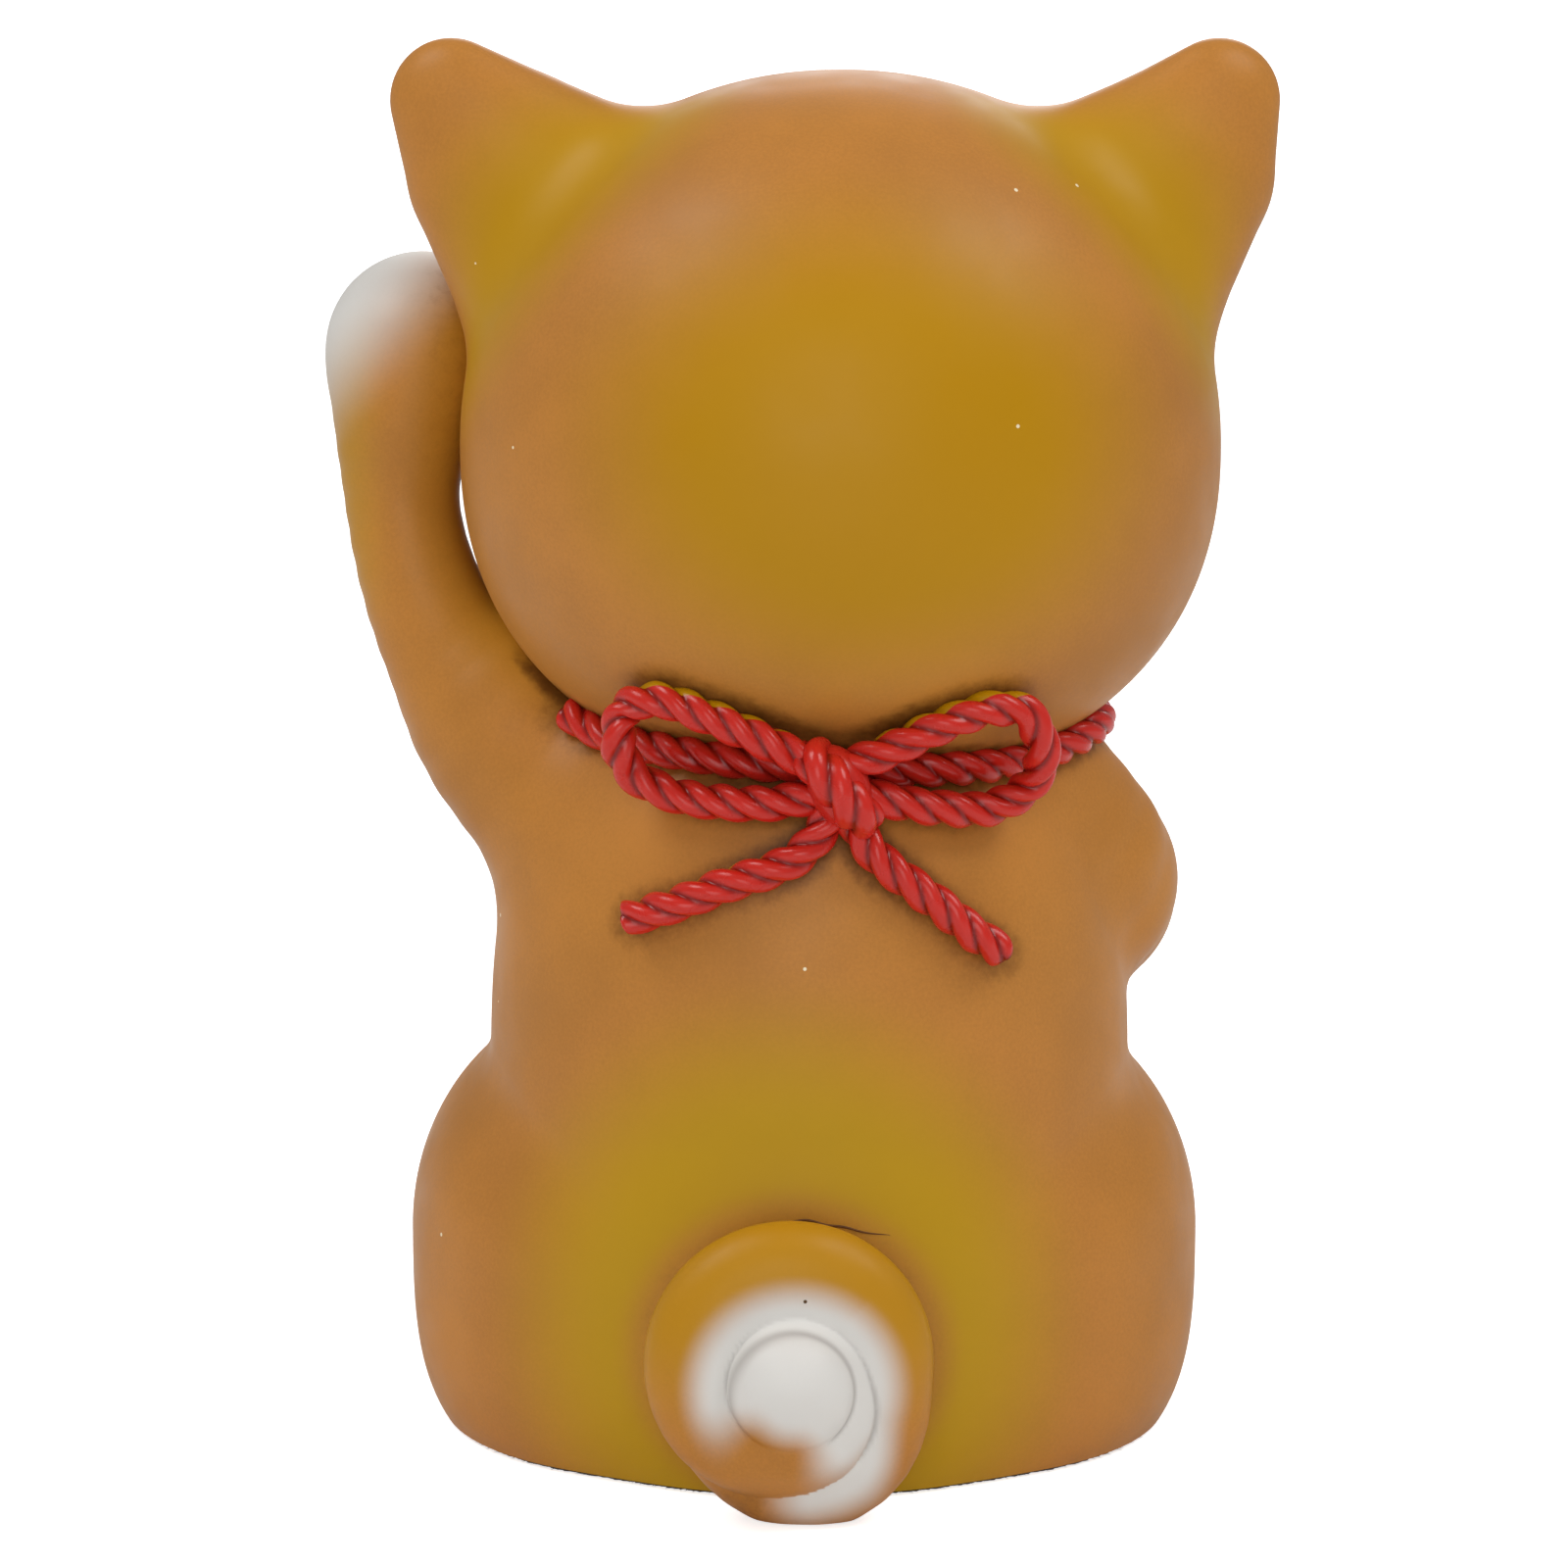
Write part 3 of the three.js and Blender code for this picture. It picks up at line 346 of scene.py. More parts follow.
class FigurineColours(bpy.types.PropertyGroup):
    """Paint and cloth colours, as they look on a screen"""

    coat: screen_colour("Coat", "Tan base coat", (0.715, 0.475, 0.205))
    ochre: screen_colour("Ochre", "Airbrushed patch on the head", (0.715, 0.515, 0.0))
    olive: screen_colour("Olive", "Airbrushed ring round the tail", (0.725, 0.57, 0.03))
    white: screen_colour("White", "White fur", (0.86, 0.85, 0.83))
    # Brown wash and painted shade: real wash and glue, with painted shade beside the cords, round and under
    # the tail, on the inner arm and low on the bell and coin
    wash_and_shade: screen_colour("Wash", "Brown wash in the creases", (0.42, 0.25, 0.07))
    pink: screen_colour("Inner ear", "Inside of the ears", (0.82, 0.58, 0.47))
    # The line colour also paints shade in the creases of the tail
    line: screen_colour("Line", "Mouth and toe lines", (0.22, 0.12, 0.07))
    enamel: screen_colour("Enamel", "Nose and eyes", (0.05, 0.04, 0.04))
    enamel_rim: screen_colour("Enamel rim", "Where the enamel is thin", (0.16, 0.09, 0.06))
    cord: screen_colour("Cord", "Red of the cord", (0.785, 0.145, 0.10))
    # Painted shade: the darker red in the valleys between the strands
    cord_painted_shade: screen_colour("Cord shade", "Red between the strands", (0.50, 0.045, 0.015))
    gold: screen_colour("Gold", "Bell and coin", (0.83, 0.64, 0.25))
    felt: screen_colour("Felt", "Felt under the base", (0.22, 0.17, 0.13))
    floor: screen_colour("Floor", "Floor and backdrop", (0.97, 0.97, 0.97))


# Masses

def smooth_step(low, high, value):
    """0 up to low, 1 from high on, and three squares less two cubes of the way in between."""
    t = np.clip((value - low) / (high - low), 0, 1)
    return t * t * (3 - 2 * t)


class Mass:
    """A rounded mass: at(x, y, z) is negative inside and about the distance outside."""

    def __init__(self, at, low, high):
        self.at = at
        self.low = np.asarray(low, float)
        self.high = np.asarray(high, float)


def egg(centre, low, high, low_fullness, high_fullness=None):
    """Measured in its reach to each side of each axis, a place is across, along and tall. Across and
    along join as on a circle, the two join by the power fullness, and the egg is where this is 1."""
    top_fullness = high_fullness or low_fullness

    def at(x, y, z):
        reach_x = np.where(x < centre[0], low[0], high[0])
        reach_y = np.where(y < centre[1], low[1], high[1])
        reach_z = np.where(z < centre[2], low[2], high[2])
        fullness = np.where(z < centre[2], low_fullness, top_fullness)
        across = (x - centre[0]) / reach_x
        along = (y - centre[1]) / reach_y
        ring = np.sqrt(across ** 2 + along ** 2) + TINY
        tall = np.abs((z - centre[2]) / reach_z) + TINY
        size = (ring ** fullness + tall ** fullness) ** (1 / fullness)
        slope = (ring / size) ** (fullness - 1)
        slope_x = slope * across / (ring * reach_x)
        slope_y = slope * along / (ring * reach_y)
        slope_z = (tall / size) ** (fullness - 1) / reach_z
        return (size - 1) / (np.sqrt(slope_x ** 2 + slope_y ** 2 + slope_z ** 2) + TINY)

    return Mass(at, np.asarray(centre) - low, np.asarray(centre) + high)


def tapered_rod(start, end, start_radius, end_radius, flatness=1.0, thin=(0.0, 1.0, 0.0)):
    """The hull of two balls: the distance to the ball that comes nearest, of all those whose radius
    changes evenly along a line. Seen side on, that ball lies ahead of a place by its distance from
    the line times the slant of the hull. Across the thin direction distances are stretched by one
    over the flatness."""
    rod = end - start
    length = math.sqrt(rod @ rod)
    lean = min(max((end_radius - start_radius) / length, -STEEPEST_ROD), STEEPEST_ROD)
    slant = lean / math.sqrt(1 - lean * lean)
    thin = np.asarray(thin, float)

    def stretch(dx, dy, dz):
        square = dx * dx + dy * dy + dz * dz
        if flatness == 1.0:
            return square, square
        across = dx * thin[0] + dy * thin[1] + dz * thin[2]
        rest = square - across * across
        return rest + (across / flatness) ** 2, rest + (across / flatness ** 2) ** 2

    def at(x, y, z):
        dx, dy, dz = x - start[0], y - start[1], z - start[2]
        share = (dx * rod[0] + dy * rod[1] + dz * rod[2]) / (rod @ rod)
        if slant:
            off, _ = stretch(dx - share * rod[0], dy - share * rod[1], dz - share * rod[2])
            share = share + np.sqrt(np.maximum(off, 0)) * (slant / length)
        share = np.clip(share, 0, 1)
        square, steep = stretch(dx - share * rod[0], dy - share * rod[1], dz - share * rod[2])
        distance = np.sqrt(np.maximum(square, 0)) + TINY
        value = distance - start_radius - share * (end_radius - start_radius)
        if flatness == 1.0:
            return value
        return value * distance / (np.sqrt(np.maximum(steep, 0)) + TINY)

    reach = max(start_radius, end_radius)
    return Mass(at, np.minimum(start, end) - reach, np.maximum(start, end) + reach)


def blend(first, second, fillet, fillet_at=None):
    """The smaller of two masses, lowered where they are nearly equal, which rounds the inside corner.
    fillet_at gives the fillet at each place where it isn't the same everywhere."""
    def at(x, y, z):
        a = first.at(x, y, z)
        b = second.at(x, y, z)
        here = fillet_at(x, y, z) if fillet_at else fillet
        overlap = np.maximum(here - np.abs(a - b), 0) / here
        return np.minimum(a, b) - overlap * overlap * here / 4

    low = np.minimum(first.low, second.low) - fillet / 4
    return Mass(at, low, np.maximum(first.high, second.high) + fillet / 4)


def hollow(first, second, fillet):
    """The first mass without the second, with a rounded edge where they cross."""
    def at(x, y, z):
        a = first.at(x, y, z)
        b = -second.at(x, y, z)
        overlap = np.maximum(fillet - np.abs(a - b), 0) / fillet
        return np.maximum(a, b) + overlap * overlap * fillet / 4

    return Mass(at, first.low, first.high)


def scored(mass, lines, width, depth):
    """A mass with grooves pressed in along lines: the depth falls off with the distance to the
    nearest line as a bell curve of the given width."""
    def at(x, y, z):
        value = mass.at(x, y, z)
        for line in lines:
            reach = 3 * width
            low, high = line.min(0) - reach, line.max(0) + reach
            near = (x > low[0]) & (x < high[0]) & (y > low[1]) & (y < high[1])
            near &= (z > low[2]) & (z < high[2])
            if near.any():
                points = np.stack([x[near], y[near], z[near]], -1)
                value[near] += depth * np.exp(-(line_distance(points, line) / width) ** 2)
        return value

    return Mass(at, mass.low, mass.high)


def through(points, per_bend):
    """Points along a smooth curve through the given ones: a cubic between each two, whose slopes are
    weighed by the square roots of the distances between neighbours."""
    points = np.asarray(points, float)
    ends = np.vstack([2 * points[0] - points[1], points, 2 * points[-1] - points[-2]])
    before, start, end, after = ends[:-3], ends[1:-2], ends[2:-1], ends[3:]

    def root_distance(a, b):
        return np.sqrt(np.linalg.norm(b - a, axis=1))[:, None]

    step0 = root_distance(before, start)
    step1 = root_distance(start, end)
    step2 = root_distance(end, after)
    leave = (start - before) / step0 - (end - before) / (step0 + step1) + (end - start) / step1
    arrive = (end - start) / step1 - (after - start) / (step1 + step2) + (after - end) / step2
    leave, arrive = leave * step1, arrive * step1
    t = (np.arange(per_bend) / per_bend)[None, :, None]
    start, end, leave, arrive = (part[:, None, :] for part in (start, end, leave, arrive))
    curve = (start + leave * t + (3 * (end - start) - 2 * leave - arrive) * t ** 2
             + (2 * (start - end) + leave + arrive) * t ** 3)
    return np.vstack([curve.reshape(-1, points.shape[1]), points[-1]])


def limb(bends, radii):
    """A limb swells and tapers smoothly along a curve through its bends."""
    middle = through(bends, RODS_PER_BEND)
    places = np.arange(len(radii))
    along = np.linspace(0, places[-1], len(middle))
    sizes = through(np.stack([places, radii], -1), 16)
    sizes = np.interp(along, sizes[:, 0], sizes[:, 1])
    whole = None
    for i in range(len(middle) - 1):
        rod = tapered_rod(middle[i], middle[i + 1], sizes[i], sizes[i + 1])
        whole = blend(whole, rod, ROD_FILLET) if whole else rod
    return whole


def line_distance(points, line):
    """The least distance from each point to a line of straight pieces."""
    least = np.full(len(points), np.inf)
    for start, end in zip(line[:-1], line[1:]):
        step = end - start
        share = np.clip((points - start) @ step / (step @ step + TINY), 0, 1)
        off = points - start - share[:, None] * step
        least = np.minimum(least, np.einsum("ij,ij->i", off, off))
    return np.sqrt(least)


def slopes(mass, points, step=SLOPE_STEP):
    """The slope of a mass at each point, from its values a step to both sides along each axis."""
    x, y, z = points.T
    return np.stack([
        mass.at(x + step, y, z) - mass.at(x - step, y, z),
        mass.at(x, y + step, z) - mass.at(x, y - step, z),
        mass.at(x, y, z + step) - mass.at(x, y, z - step),
    ], -1) / (2 * step)


def around(count):
    """Even angles once round."""
    return np.arange(count) * 2 * math.pi / count


def unit(vectors):
    """Vectors drawn to a length of one."""
    return vectors / (np.linalg.norm(vectors, axis=-1, keepdims=True) + TINY)


def mirrored(vector, side):
    """A place given for the dog's left, on the side asked for: 1 is its left and -1 its right."""
    return vector * np.array([side, 1.0, 1.0])


def make_ear(side):
    """One ear: two flattened rods that flow together, and the rod that its hollow is pressed with."""
    far = EAR_TIP_LEFT if side > 0 else EAR_TIP_RIGHT
    root, middle, tip = (HEAD_CENTRE + mirrored(place, side) for place in (EAR_ROOT, EAR_MIDDLE, far))
    thin = unit(np.array([side * EAR_TURN, 1.0, 0.0]))
    lower = tapered_rod(root, middle, EAR_RADII[0], EAR_RADII[1], EAR_FLATNESS, thin)
    upper = tapered_rod(middle, tip, EAR_RADII[1], EAR_RADII[2], EAR_FLATNESS, thin)
    advance = -thin * EAR_HOLLOW_ADVANCE
    inner = tapered_rod(root + advance, tip + advance, *EAR_HOLLOW_RADII, EAR_FLATNESS, thin)
    return hollow(blend(lower, upper, ROD_FILLET), inner, EAR_HOLLOW_FILLET), inner


SKULL = egg(HEAD_CENTRE, HEAD_LOW, HEAD_HIGH, CHIN_FULLNESS, CROWN_FULLNESS)
EARS = [make_ear(side) for side in (-1, 1)]


def make_head():
    """The skull with its cheeks, muzzle and ears, each blended in with a fillet."""
    mass = SKULL
    for side in (-1, 1):
        cheek = egg(HEAD_CENTRE + mirrored(CHEEK_OFFSET, side), CHEEK_SIZE, CHEEK_SIZE, ROUND)
        mass = blend(mass, cheek, CHEEK_FILLET)
    muzzle = egg(HEAD_CENTRE + MUZZLE_OFFSET, MUZZLE_SIZE, MUZZLE_SIZE, ROUND)
    mass = blend(mass, muzzle, MUZZLE_FILLET)
    for ear, _ in EARS:
        mass = blend(mass, ear, EAR_FILLET)
    return mass


def make_torso():
    """The body with its haunches, rump, hind feet and folded right arm."""
    mass = egg(TORSO_CENTRE, TORSO_LOW, TORSO_HIGH, TORSO_FULLNESS)
    for side in (-1, 1):
        haunch = egg(mirrored(HAUNCH_CENTRE, side), HAUNCH_LOW, HAUNCH_HIGH, *HAUNCH_FULLNESS)
        mass = blend(mass, haunch, HAUNCH_FILLET)
    mass = blend(mass, egg(RUMP_CENTRE, RUMP_LOW, RUMP_HIGH, RUMP_FULLNESS), RUMP_FILLET)
    for side in (-1, 1):
        foot = egg(mirrored(FOOT_CENTRE, side), FOOT_SIZE, FOOT_SIZE, FOOT_FULLNESS)
        mass = blend(mass, foot, FOOT_FILLET)
    return blend(mass, limb(FOLDED_ARM, FOLDED_ARM_RADII), FOLDED_ARM_FILLET)


def make_raised_arm():
    """The raised left arm with its paw."""
    paw = egg(RAISED_PAW_CENTRE, RAISED_PAW_LOW, RAISED_PAW_HIGH, ROUND)
    return blend(limb(RAISED_ARM, RAISED_ARM_RADII), paw, PAW_FILLET)


def tail_line(angle):
    """The middle of the tail at an angle: the radius swings out at the root, stays even for the outer
    turn, and then winds in to a small circle below the middle. It rises off the rump by a power."""
    share = (angle - TAIL_START) / TAIL_SWEEP
    swing = 1 - smooth_step(0.0, TAIL_ROOT_SPAN, np.abs(angle - TAIL_ROOT_ANGLE))
    wind_in = smooth_step(*TAIL_WIND_IN, angle)
    turned = (angle - TAIL_WIND_IN[1]) / (TAIL_START + TAIL_SWEEP - TAIL_WIND_IN[1])
    inner = TAIL_INNER + (TAIL_TIP - TAIL_INNER) * turned
    outer = TAIL_OUTER + TAIL_ROOT_SWING * swing
    radius = outer + (inner - outer) * wind_in
    drop = TAIL_TIP_DROP[0] + (TAIL_TIP_DROP[1] - TAIL_TIP_DROP[0]) * np.clip(turned, 0, 1)
    return np.stack([
        TAIL_CENTRE[0] - TAIL_TIP_SHIFT * wind_in - radius * np.cos(np.radians(angle)),
        TAIL_CENTRE[1] + TAIL_SPREAD * share ** TAIL_SPREAD_POWER,
        TAIL_CENTRE[2] - drop * wind_in + radius * np.sin(np.radians(angle)),
    ], -1)


def tail_run(first, last):
    """The tail between two angles: rods along its line, which meet in a crisp crease."""
    angles = TAIL_START + np.linspace(0, TAIL_SWEEP, TAIL_RODS + 1)
    bends = tail_line(angles)
    radii = np.linspace(*TAIL_THICKNESS, TAIL_RODS + 1)
    whole = None
    for i in range(TAIL_RODS):
        if first <= angles[i] < last:
            rod = tapered_rod(bends[i], bends[i + 1], radii[i], radii[i + 1], TAIL_FLATNESS)
            whole = blend(whole, rod, TAIL_CREASE) if whole else rod
    return whole


def make_tail():
    """The turns lie over each other. The crease round the tip fades out low on the curl."""
    def crease(x, y, z):
        low = 1 - smooth_step(-7.5, -3.5, z - TAIL_CENTRE[2])
        return TAIL_CREASE + (TAIL_SOFT_CREASE - TAIL_CREASE) * low

    end = TAIL_START + TAIL_SWEEP
    turns = tail_run(TAIL_START, TAIL_TIP_FROM)
    curl = blend(turns, tail_run(TAIL_TIP_FROM, end), TAIL_SOFT_CREASE, crease)
    seat = egg(TAIL_CENTRE, TAIL_SEAT_LOW, TAIL_SEAT_HIGH, ROUND)
    return blend(curl, seat, TAIL_SEAT_FILLET)


HEAD = make_head()
TORSO = make_torso()
ARM = make_raised_arm()
TRUNK = blend(TORSO, ARM, ARM_FILLET)
TAIL = make_tail()


def walk(mass, starts, directions, distance):
    """Walks from each start along its direction until a mass is the given distance away."""
    points = np.array(starts, float)
    for _ in range(WALK_STEPS):
        left = mass.at(*points.T) - distance
        points += directions * (WALK_SHARE * left)[:, None]
    return points


def seat_behind(mass, across, up, lift):
    """Places across and up, brought in from behind until they are a lift off a mass."""
    starts = np.stack([across, np.full(len(across), FAR_OUT), up], -1)
    return walk(mass, starts, np.array([0.0, -1.0, 0.0]), lift)


def seat_in_front(mass, across, up, lift):
    """Places across and up, brought in from the front until they are a lift off a mass."""
    starts = np.stack([across, np.full(len(across), -FAR_OUT), up], -1)
    return walk(mass, starts, np.array([0.0, 1.0, 0.0]), lift)


def in_front(mass, places):
    """A line in front of a mass through places across and up."""
    places = through(places, 4)
    return seat_in_front(mass, places[:, 0], places[:, 1], np.zeros(len(places)))


# Surfaces

def skin_of(mass, cell):
    """The surface where a mass is 0. Space is split into cells. Each cell with corners on both sides
    gets one point, slid down the slope onto the surface, and each lattice edge that crosses the
    surface joins the points of its four cells. Far from the surface only every fourth corner is
    worked out. Squares whose corners lie in, out, in and out are filled first, so that the skin
    never touches itself along a line."""
    low = mass.low - 2 * cell
    counts = np.ceil((mass.high + 2 * cell - low) / cell).astype(int) + 1
    stride = NET_STRIDE
    coarse = [low[i] + cell * stride * np.arange(counts[i] // stride + 2) for i in range(3)]
    values = mass.at(*(axis.copy() for axis in np.meshgrid(*coarse, indexing="ij")))
    nearest = values[np.ix_(*((np.arange(count) + stride // 2) // stride for count in counts))]
    inside = nearest < 0
    i, j, k = np.nonzero(np.abs(nearest) < NET_BAND * cell)
    inside[i, j, k] = mass.at(low[0] + cell * i, low[1] + cell * j, low[2] + cell * k) < 0
    fill_pinches(inside)
    corners = sum(
        inside[a:counts[0] - 1 + a, b:counts[1] - 1 + b, c:counts[2] - 1 + c].astype(np.int8)
        for a in (0, 1) for b in (0, 1) for c in (0, 1))
    crossed = (corners > 0) & (corners < 8)
    number = np.full(crossed.shape, -1)
    number[crossed] = np.arange(crossed.sum())
    points = low + cell * (np.argwhere(crossed) + 0.5)
    faces = []
    for axis in range(3):
        first, second = (axis + 1) % 3, (axis + 2) % 3
        here = np.take(inside, range(counts[axis] - 1), axis)
        edges = np.argwhere(here != np.take(inside, range(1, counts[axis]), axis))
        leaving = here[tuple(edges.T)]

        def cell_at(a, b):
            place = edges.copy()
            place[:, first] += a
            place[:, second] += b
            return number[tuple(place.T)]

        quads = np.stack([cell_at(-1, -1), cell_at(0, -1), cell_at(0, 0), cell_at(-1, 0)], 1)
        quads[~leaving] = quads[~leaving][:, ::-1]
        faces.append(quads)
    for _ in range(NET_SLIDES):
        slope = slopes(mass, points)
        move = -mass.at(*points.T)[:, None] * slope / (np.sum(slope ** 2, 1) + TINY)[:, None]
        length = np.linalg.norm(move, axis=1, keepdims=True)
        points = points + move * np.minimum(1, cell / (length + TINY))
    return points, np.concatenate(faces)


def fill_pinches(inside):
    """Fills every lattice square whose corners lie in, out, in and out, until none is left."""
    found = True
    while found:
        found = False
        for axis in range(3):
            layers = np.moveaxis(inside, axis, 0)
            a, b = layers[:, :-1, :-1], layers[:, 1:, :-1]
            c, d = layers[:, 1:, 1:], layers[:, :-1, 1:]
            pinched = (a == c) & (b == d) & (a != b)
            if pinched.any():
                found = True
                for corner in (a, b, c, d):
                    corner[pinched] = True


def cut_flat(points, faces, place, direction):
    """Cuts a closed skin along a plane, drops what lies beyond it and closes the cut."""
    mesh = bpy.data.meshes.new("cutting")
    mesh.from_pydata(points.tolist(), [], [list(face) for face in faces])
    work = bmesh.new()
    work.from_mesh(mesh)
    bpy.data.meshes.remove(mesh)
    everything = work.verts[:] + work.edges[:] + work.faces[:]
    bmesh.ops.bisect_plane(
        work, geom=everything, plane_co=place, plane_no=direction, clear_outer=True, dist=1e-5)
    rim = [edge for edge in work.edges if edge.is_boundary]
    bmesh.ops.holes_fill(work, edges=rim, sides=0)
    bmesh.ops.triangulate(work, faces=[face for face in work.faces if len(face.verts) > 4])
    work.verts.index_update()
    kept = np.array([vertex.co for vertex in work.verts])
    loops = [[vertex.index for vertex in face.verts] for face in work.faces]
    work.free()
    return kept, loops


def grid_faces(rows, columns):
    """Quads of a grid of points that closes round its columns."""
    row = np.arange(rows - 1)[:, None]
    column = np.arange(columns)[None, :]
    after = (column + 1) % columns
    quads = [row * columns + column, row * columns + after,
             (row + 1) * columns + after, (row + 1) * columns + column]
    return np.stack(quads, -1).reshape(-1, 4)


def closed_tube(rings):
    """Rings of points, rows by columns by 3, with a point at each end that closes the tube."""
    rows, columns, _ = rings.shape
    points = np.vstack([rings.reshape(-1, 3), rings[0].mean(0), rings[-1].mean(0)])
    column = np.arange(columns)
    after = (column + 1) % columns
    last = (rows - 1) * columns
    first_cap = np.stack([np.full(columns, rows * columns), after, column], -1)
    last_cap = np.stack([np.full(columns, rows * columns + 1), last + column, last + after], -1)
    return points, grid_faces(rows, columns).tolist() + first_cap.tolist() + last_cap.tolist()


def spot(points, centre, reach, core=0.5):
    """An airbrushed spot: 1 near its centre, fading to 0 at its reach along each axis."""
    away = np.linalg.norm((points - centre) / reach, axis=1)
    return 1 - smooth_step(core, 1.0, away)


def add_piece(name, points, faces, material, nodes=(), masks=None, normals=None):
    """Puts a surface into a mesh object at the origin, which rides on the one body."""
    mesh = bpy.data.meshes.new(name)
    mesh.from_pydata((np.asarray(points) * MM).tolist(), [], [list(face) for face in faces])
    mesh.polygons.foreach_set("use_smooth", np.ones(len(mesh.polygons), bool))
    for key, values in (masks or {}).items():
        attribute = mesh.attributes.new(key, "FLOAT", "POINT")
        attribute.data.foreach_set("value", np.asarray(values, np.float32))
    mesh.materials.append(material)
    mesh.update()
    if normals is not None:
        mesh.normals_split_custom_set_from_vertices(normals.tolist())
    piece = bpy.data.objects.new(name, mesh)
    bpy.context.scene.collection.objects.link(piece)
    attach(piece, BODY)
    if nodes:
        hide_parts(*nodes)
    return piece


# Cords

def evenly(line, spacing):
    """Places at even steps along a line of points, with the direction of the line at each."""
    along = np.concatenate([[0.0], np.cumsum(np.linalg.norm(np.diff(line, axis=0), axis=1))])
    count = max(int(round(along[-1] / spacing)), 4) + 1
    steps = np.linspace(0, along[-1], count)
    places = np.stack([np.interp(steps, along, line[:, i]) for i in range(3)], -1)
    return steps, places, unit(np.gradient(places, axis=0))


def neck_groove(angles, lift):
    """Places round the neck: at each angle, the height where the head and the trunk are equally near,
    and the distance out at which both are one lift away."""
    across, back = np.cos(np.radians(angles)), np.sin(np.radians(angles))

    def on_crease(radius):
        points = np.stack([HEAD_CENTRE[0] / 2 + radius * across, radius * back, radius * 0], -1)
        low = np.full(len(radius), TORSO_CENTRE[2])
        high = np.full(len(radius), HEAD_CENTRE[2])
        for _ in range(HALVINGS):
            points[:, 2] = (low + high) / 2
            near_head = HEAD.at(*points.T) < TRUNK.at(*points.T)
            high = np.where(near_head, points[:, 2], high)
            low = np.where(near_head, low, points[:, 2])
        return points

    inner = np.zeros(len(angles))
    outer = np.full(len(angles), HEAD_LOW[0])
    for _ in range(HALVINGS):
        middle = (inner + outer) / 2
        tight = HEAD.at(*on_crease(middle).T) < lift
        inner = np.where(tight, middle, inner)
        outer = np.where(tight, outer, middle)
    return on_crease((inner + outer) / 2)


def neck_route(lift):
    """The neck cord's middle line, laid in the groove of the neck."""
    return through(neck_groove(NECK_ANGLES, lift), NECK_POINTS)


def make_saddle():
    """What the bow lies on: the castings, bridged over the groove of the neck, and the neck cord."""
    places = neck_groove(NECK_ANGLES, NECK_CORD_LIFT)
    cord = None
    for start, end in zip(places[:-1], places[1:]):
        rod = tapered_rod(start, end, CORD_RADIUS, CORD_RADIUS)
        cord = blend(cord, rod, ROD_FILLET) if cord else rod
    return blend(blend(HEAD, TRUNK, BOW_BRIDGE), cord, ROD_FILLET)


SADDLE = make_saddle()
BACK_OF_NECK = neck_groove(np.array([90.0]), CORD_GROOVE_LIFT)[0]
KNOT_PLACE = (BACK_OF_NECK[0] - KNOT_ASIDE, BACK_OF_NECK[2] - KNOT_BELOW)


def bow_route(places, lift):
    """A cord's middle line through places seen from behind, resting on the saddle."""
    places = np.array(places)
    across, up = KNOT_PLACE[0] + places[:, 0], KNOT_PLACE[1] + places[:, 1]
    return through(seat_behind(SADDLE, across, up, places[:, 2] + lift), BOW_POINTS)


def laid_cord(line, radius, pitch, outward, round_start=0.5, round_end=0.5):
    """Three strands laid round a line. At a length along the line and an angle round it, the surface
    lies on the nearest of three circles that touch the cord's outer radius, and the circles turn once
    in each pitch. Towards an end the radius falls as on a ball. outward gives, at each place, the
    direction that the angle is counted from. Gives back how low each point lies between the strands
    and its direction from the line too."""
    steps, places, along = evenly(line, CORD_STEP * radius)
    reference = outward(places)
    side = unit(reference - np.sum(reference * along, 1, keepdims=True) * along)
    other = np.cross(along, side)
    angle = around(CORD_SIDES)[None, :]
    third = 2 * math.pi / 3
    turned = (angle - 2 * math.pi * steps[:, None] / pitch + third / 2) % third - third / 2
    strand = STRAND_SHARE * radius
    offset = radius - strand
    reach = offset * np.cos(turned) + np.sqrt(strand ** 2 - (offset * np.sin(turned)) ** 2)
    length = steps[-1]
    near_start = np.clip(1 - steps / (round_start * radius), 0, 1)
    near_end = np.clip(1 - (length - steps) / (round_end * radius), 0, 1)
    taper = np.sqrt(1 - near_start ** 2) * np.sqrt(1 - near_end ** 2)
    reach = reach * np.maximum(taper, CORD_END_REACH)[:, None]
    away = np.cos(angle)[..., None] * side[:, None, :] + np.sin(angle)[..., None] * other[:, None, :]
    rings = places[:, None, :] + reach[..., None] * away
    half = third / 2
    deepest = offset * math.cos(half) + math.sqrt(strand ** 2 - (offset * math.sin(half)) ** 2)
    valley = (radius - reach) / (radius - deepest)
    points, faces = closed_tube(rings)
    valley = np.concatenate([np.clip(valley, 0, 1).ravel(), [0.5, 0.5]])
    return points, faces, valley, np.vstack([away.reshape(-1, 3), np.zeros((2, 3))])


def thread(line, radius, sides=8):
    """A round thread along a line: circles across it, which shrink to its two ends."""
    steps, places, along = evenly(line, 2 * radius)
    side = unit(np.cross(along, (0.0, 1.0, 0.0)))
    other = np.cross(along, side)
    angle = around(sides)[None, :, None]
    round_it = np.cos(angle) * side[:, None, :] + np.sin(angle) * other[:, None, :]
    share = steps / steps[-1]
    reach = radius * np.sqrt(np.clip(np.minimum(share, 1 - share) / 0.3, 0.04, 1))
    return closed_tube(places[:, None, :] + reach[:, None, None] * round_it)


# Node helpers

# The span of the grain's height, the depth of bumps in metres, and how fine noises are, per metre
GRAIN_RANGE = (0.35, 0.85)
GRAIN_BUMP = 0.0001
FELT_BUMP = 0.0002
FRAY_SCALE = 1300.0
CLOUD_SCALE = 70.0
DUST = {"Scale": 700.0, "Amount": 0.02, "Size": 0.1}
PINHOLES = {"Scale": 330.0, "Amount": 0.004, "Size": 0.06}
DUST_COLOUR = (0.85, 0.74, 0.5, 1.0)
PINHOLE_COLOUR = (0.10, 0.05, 0.02, 1.0)


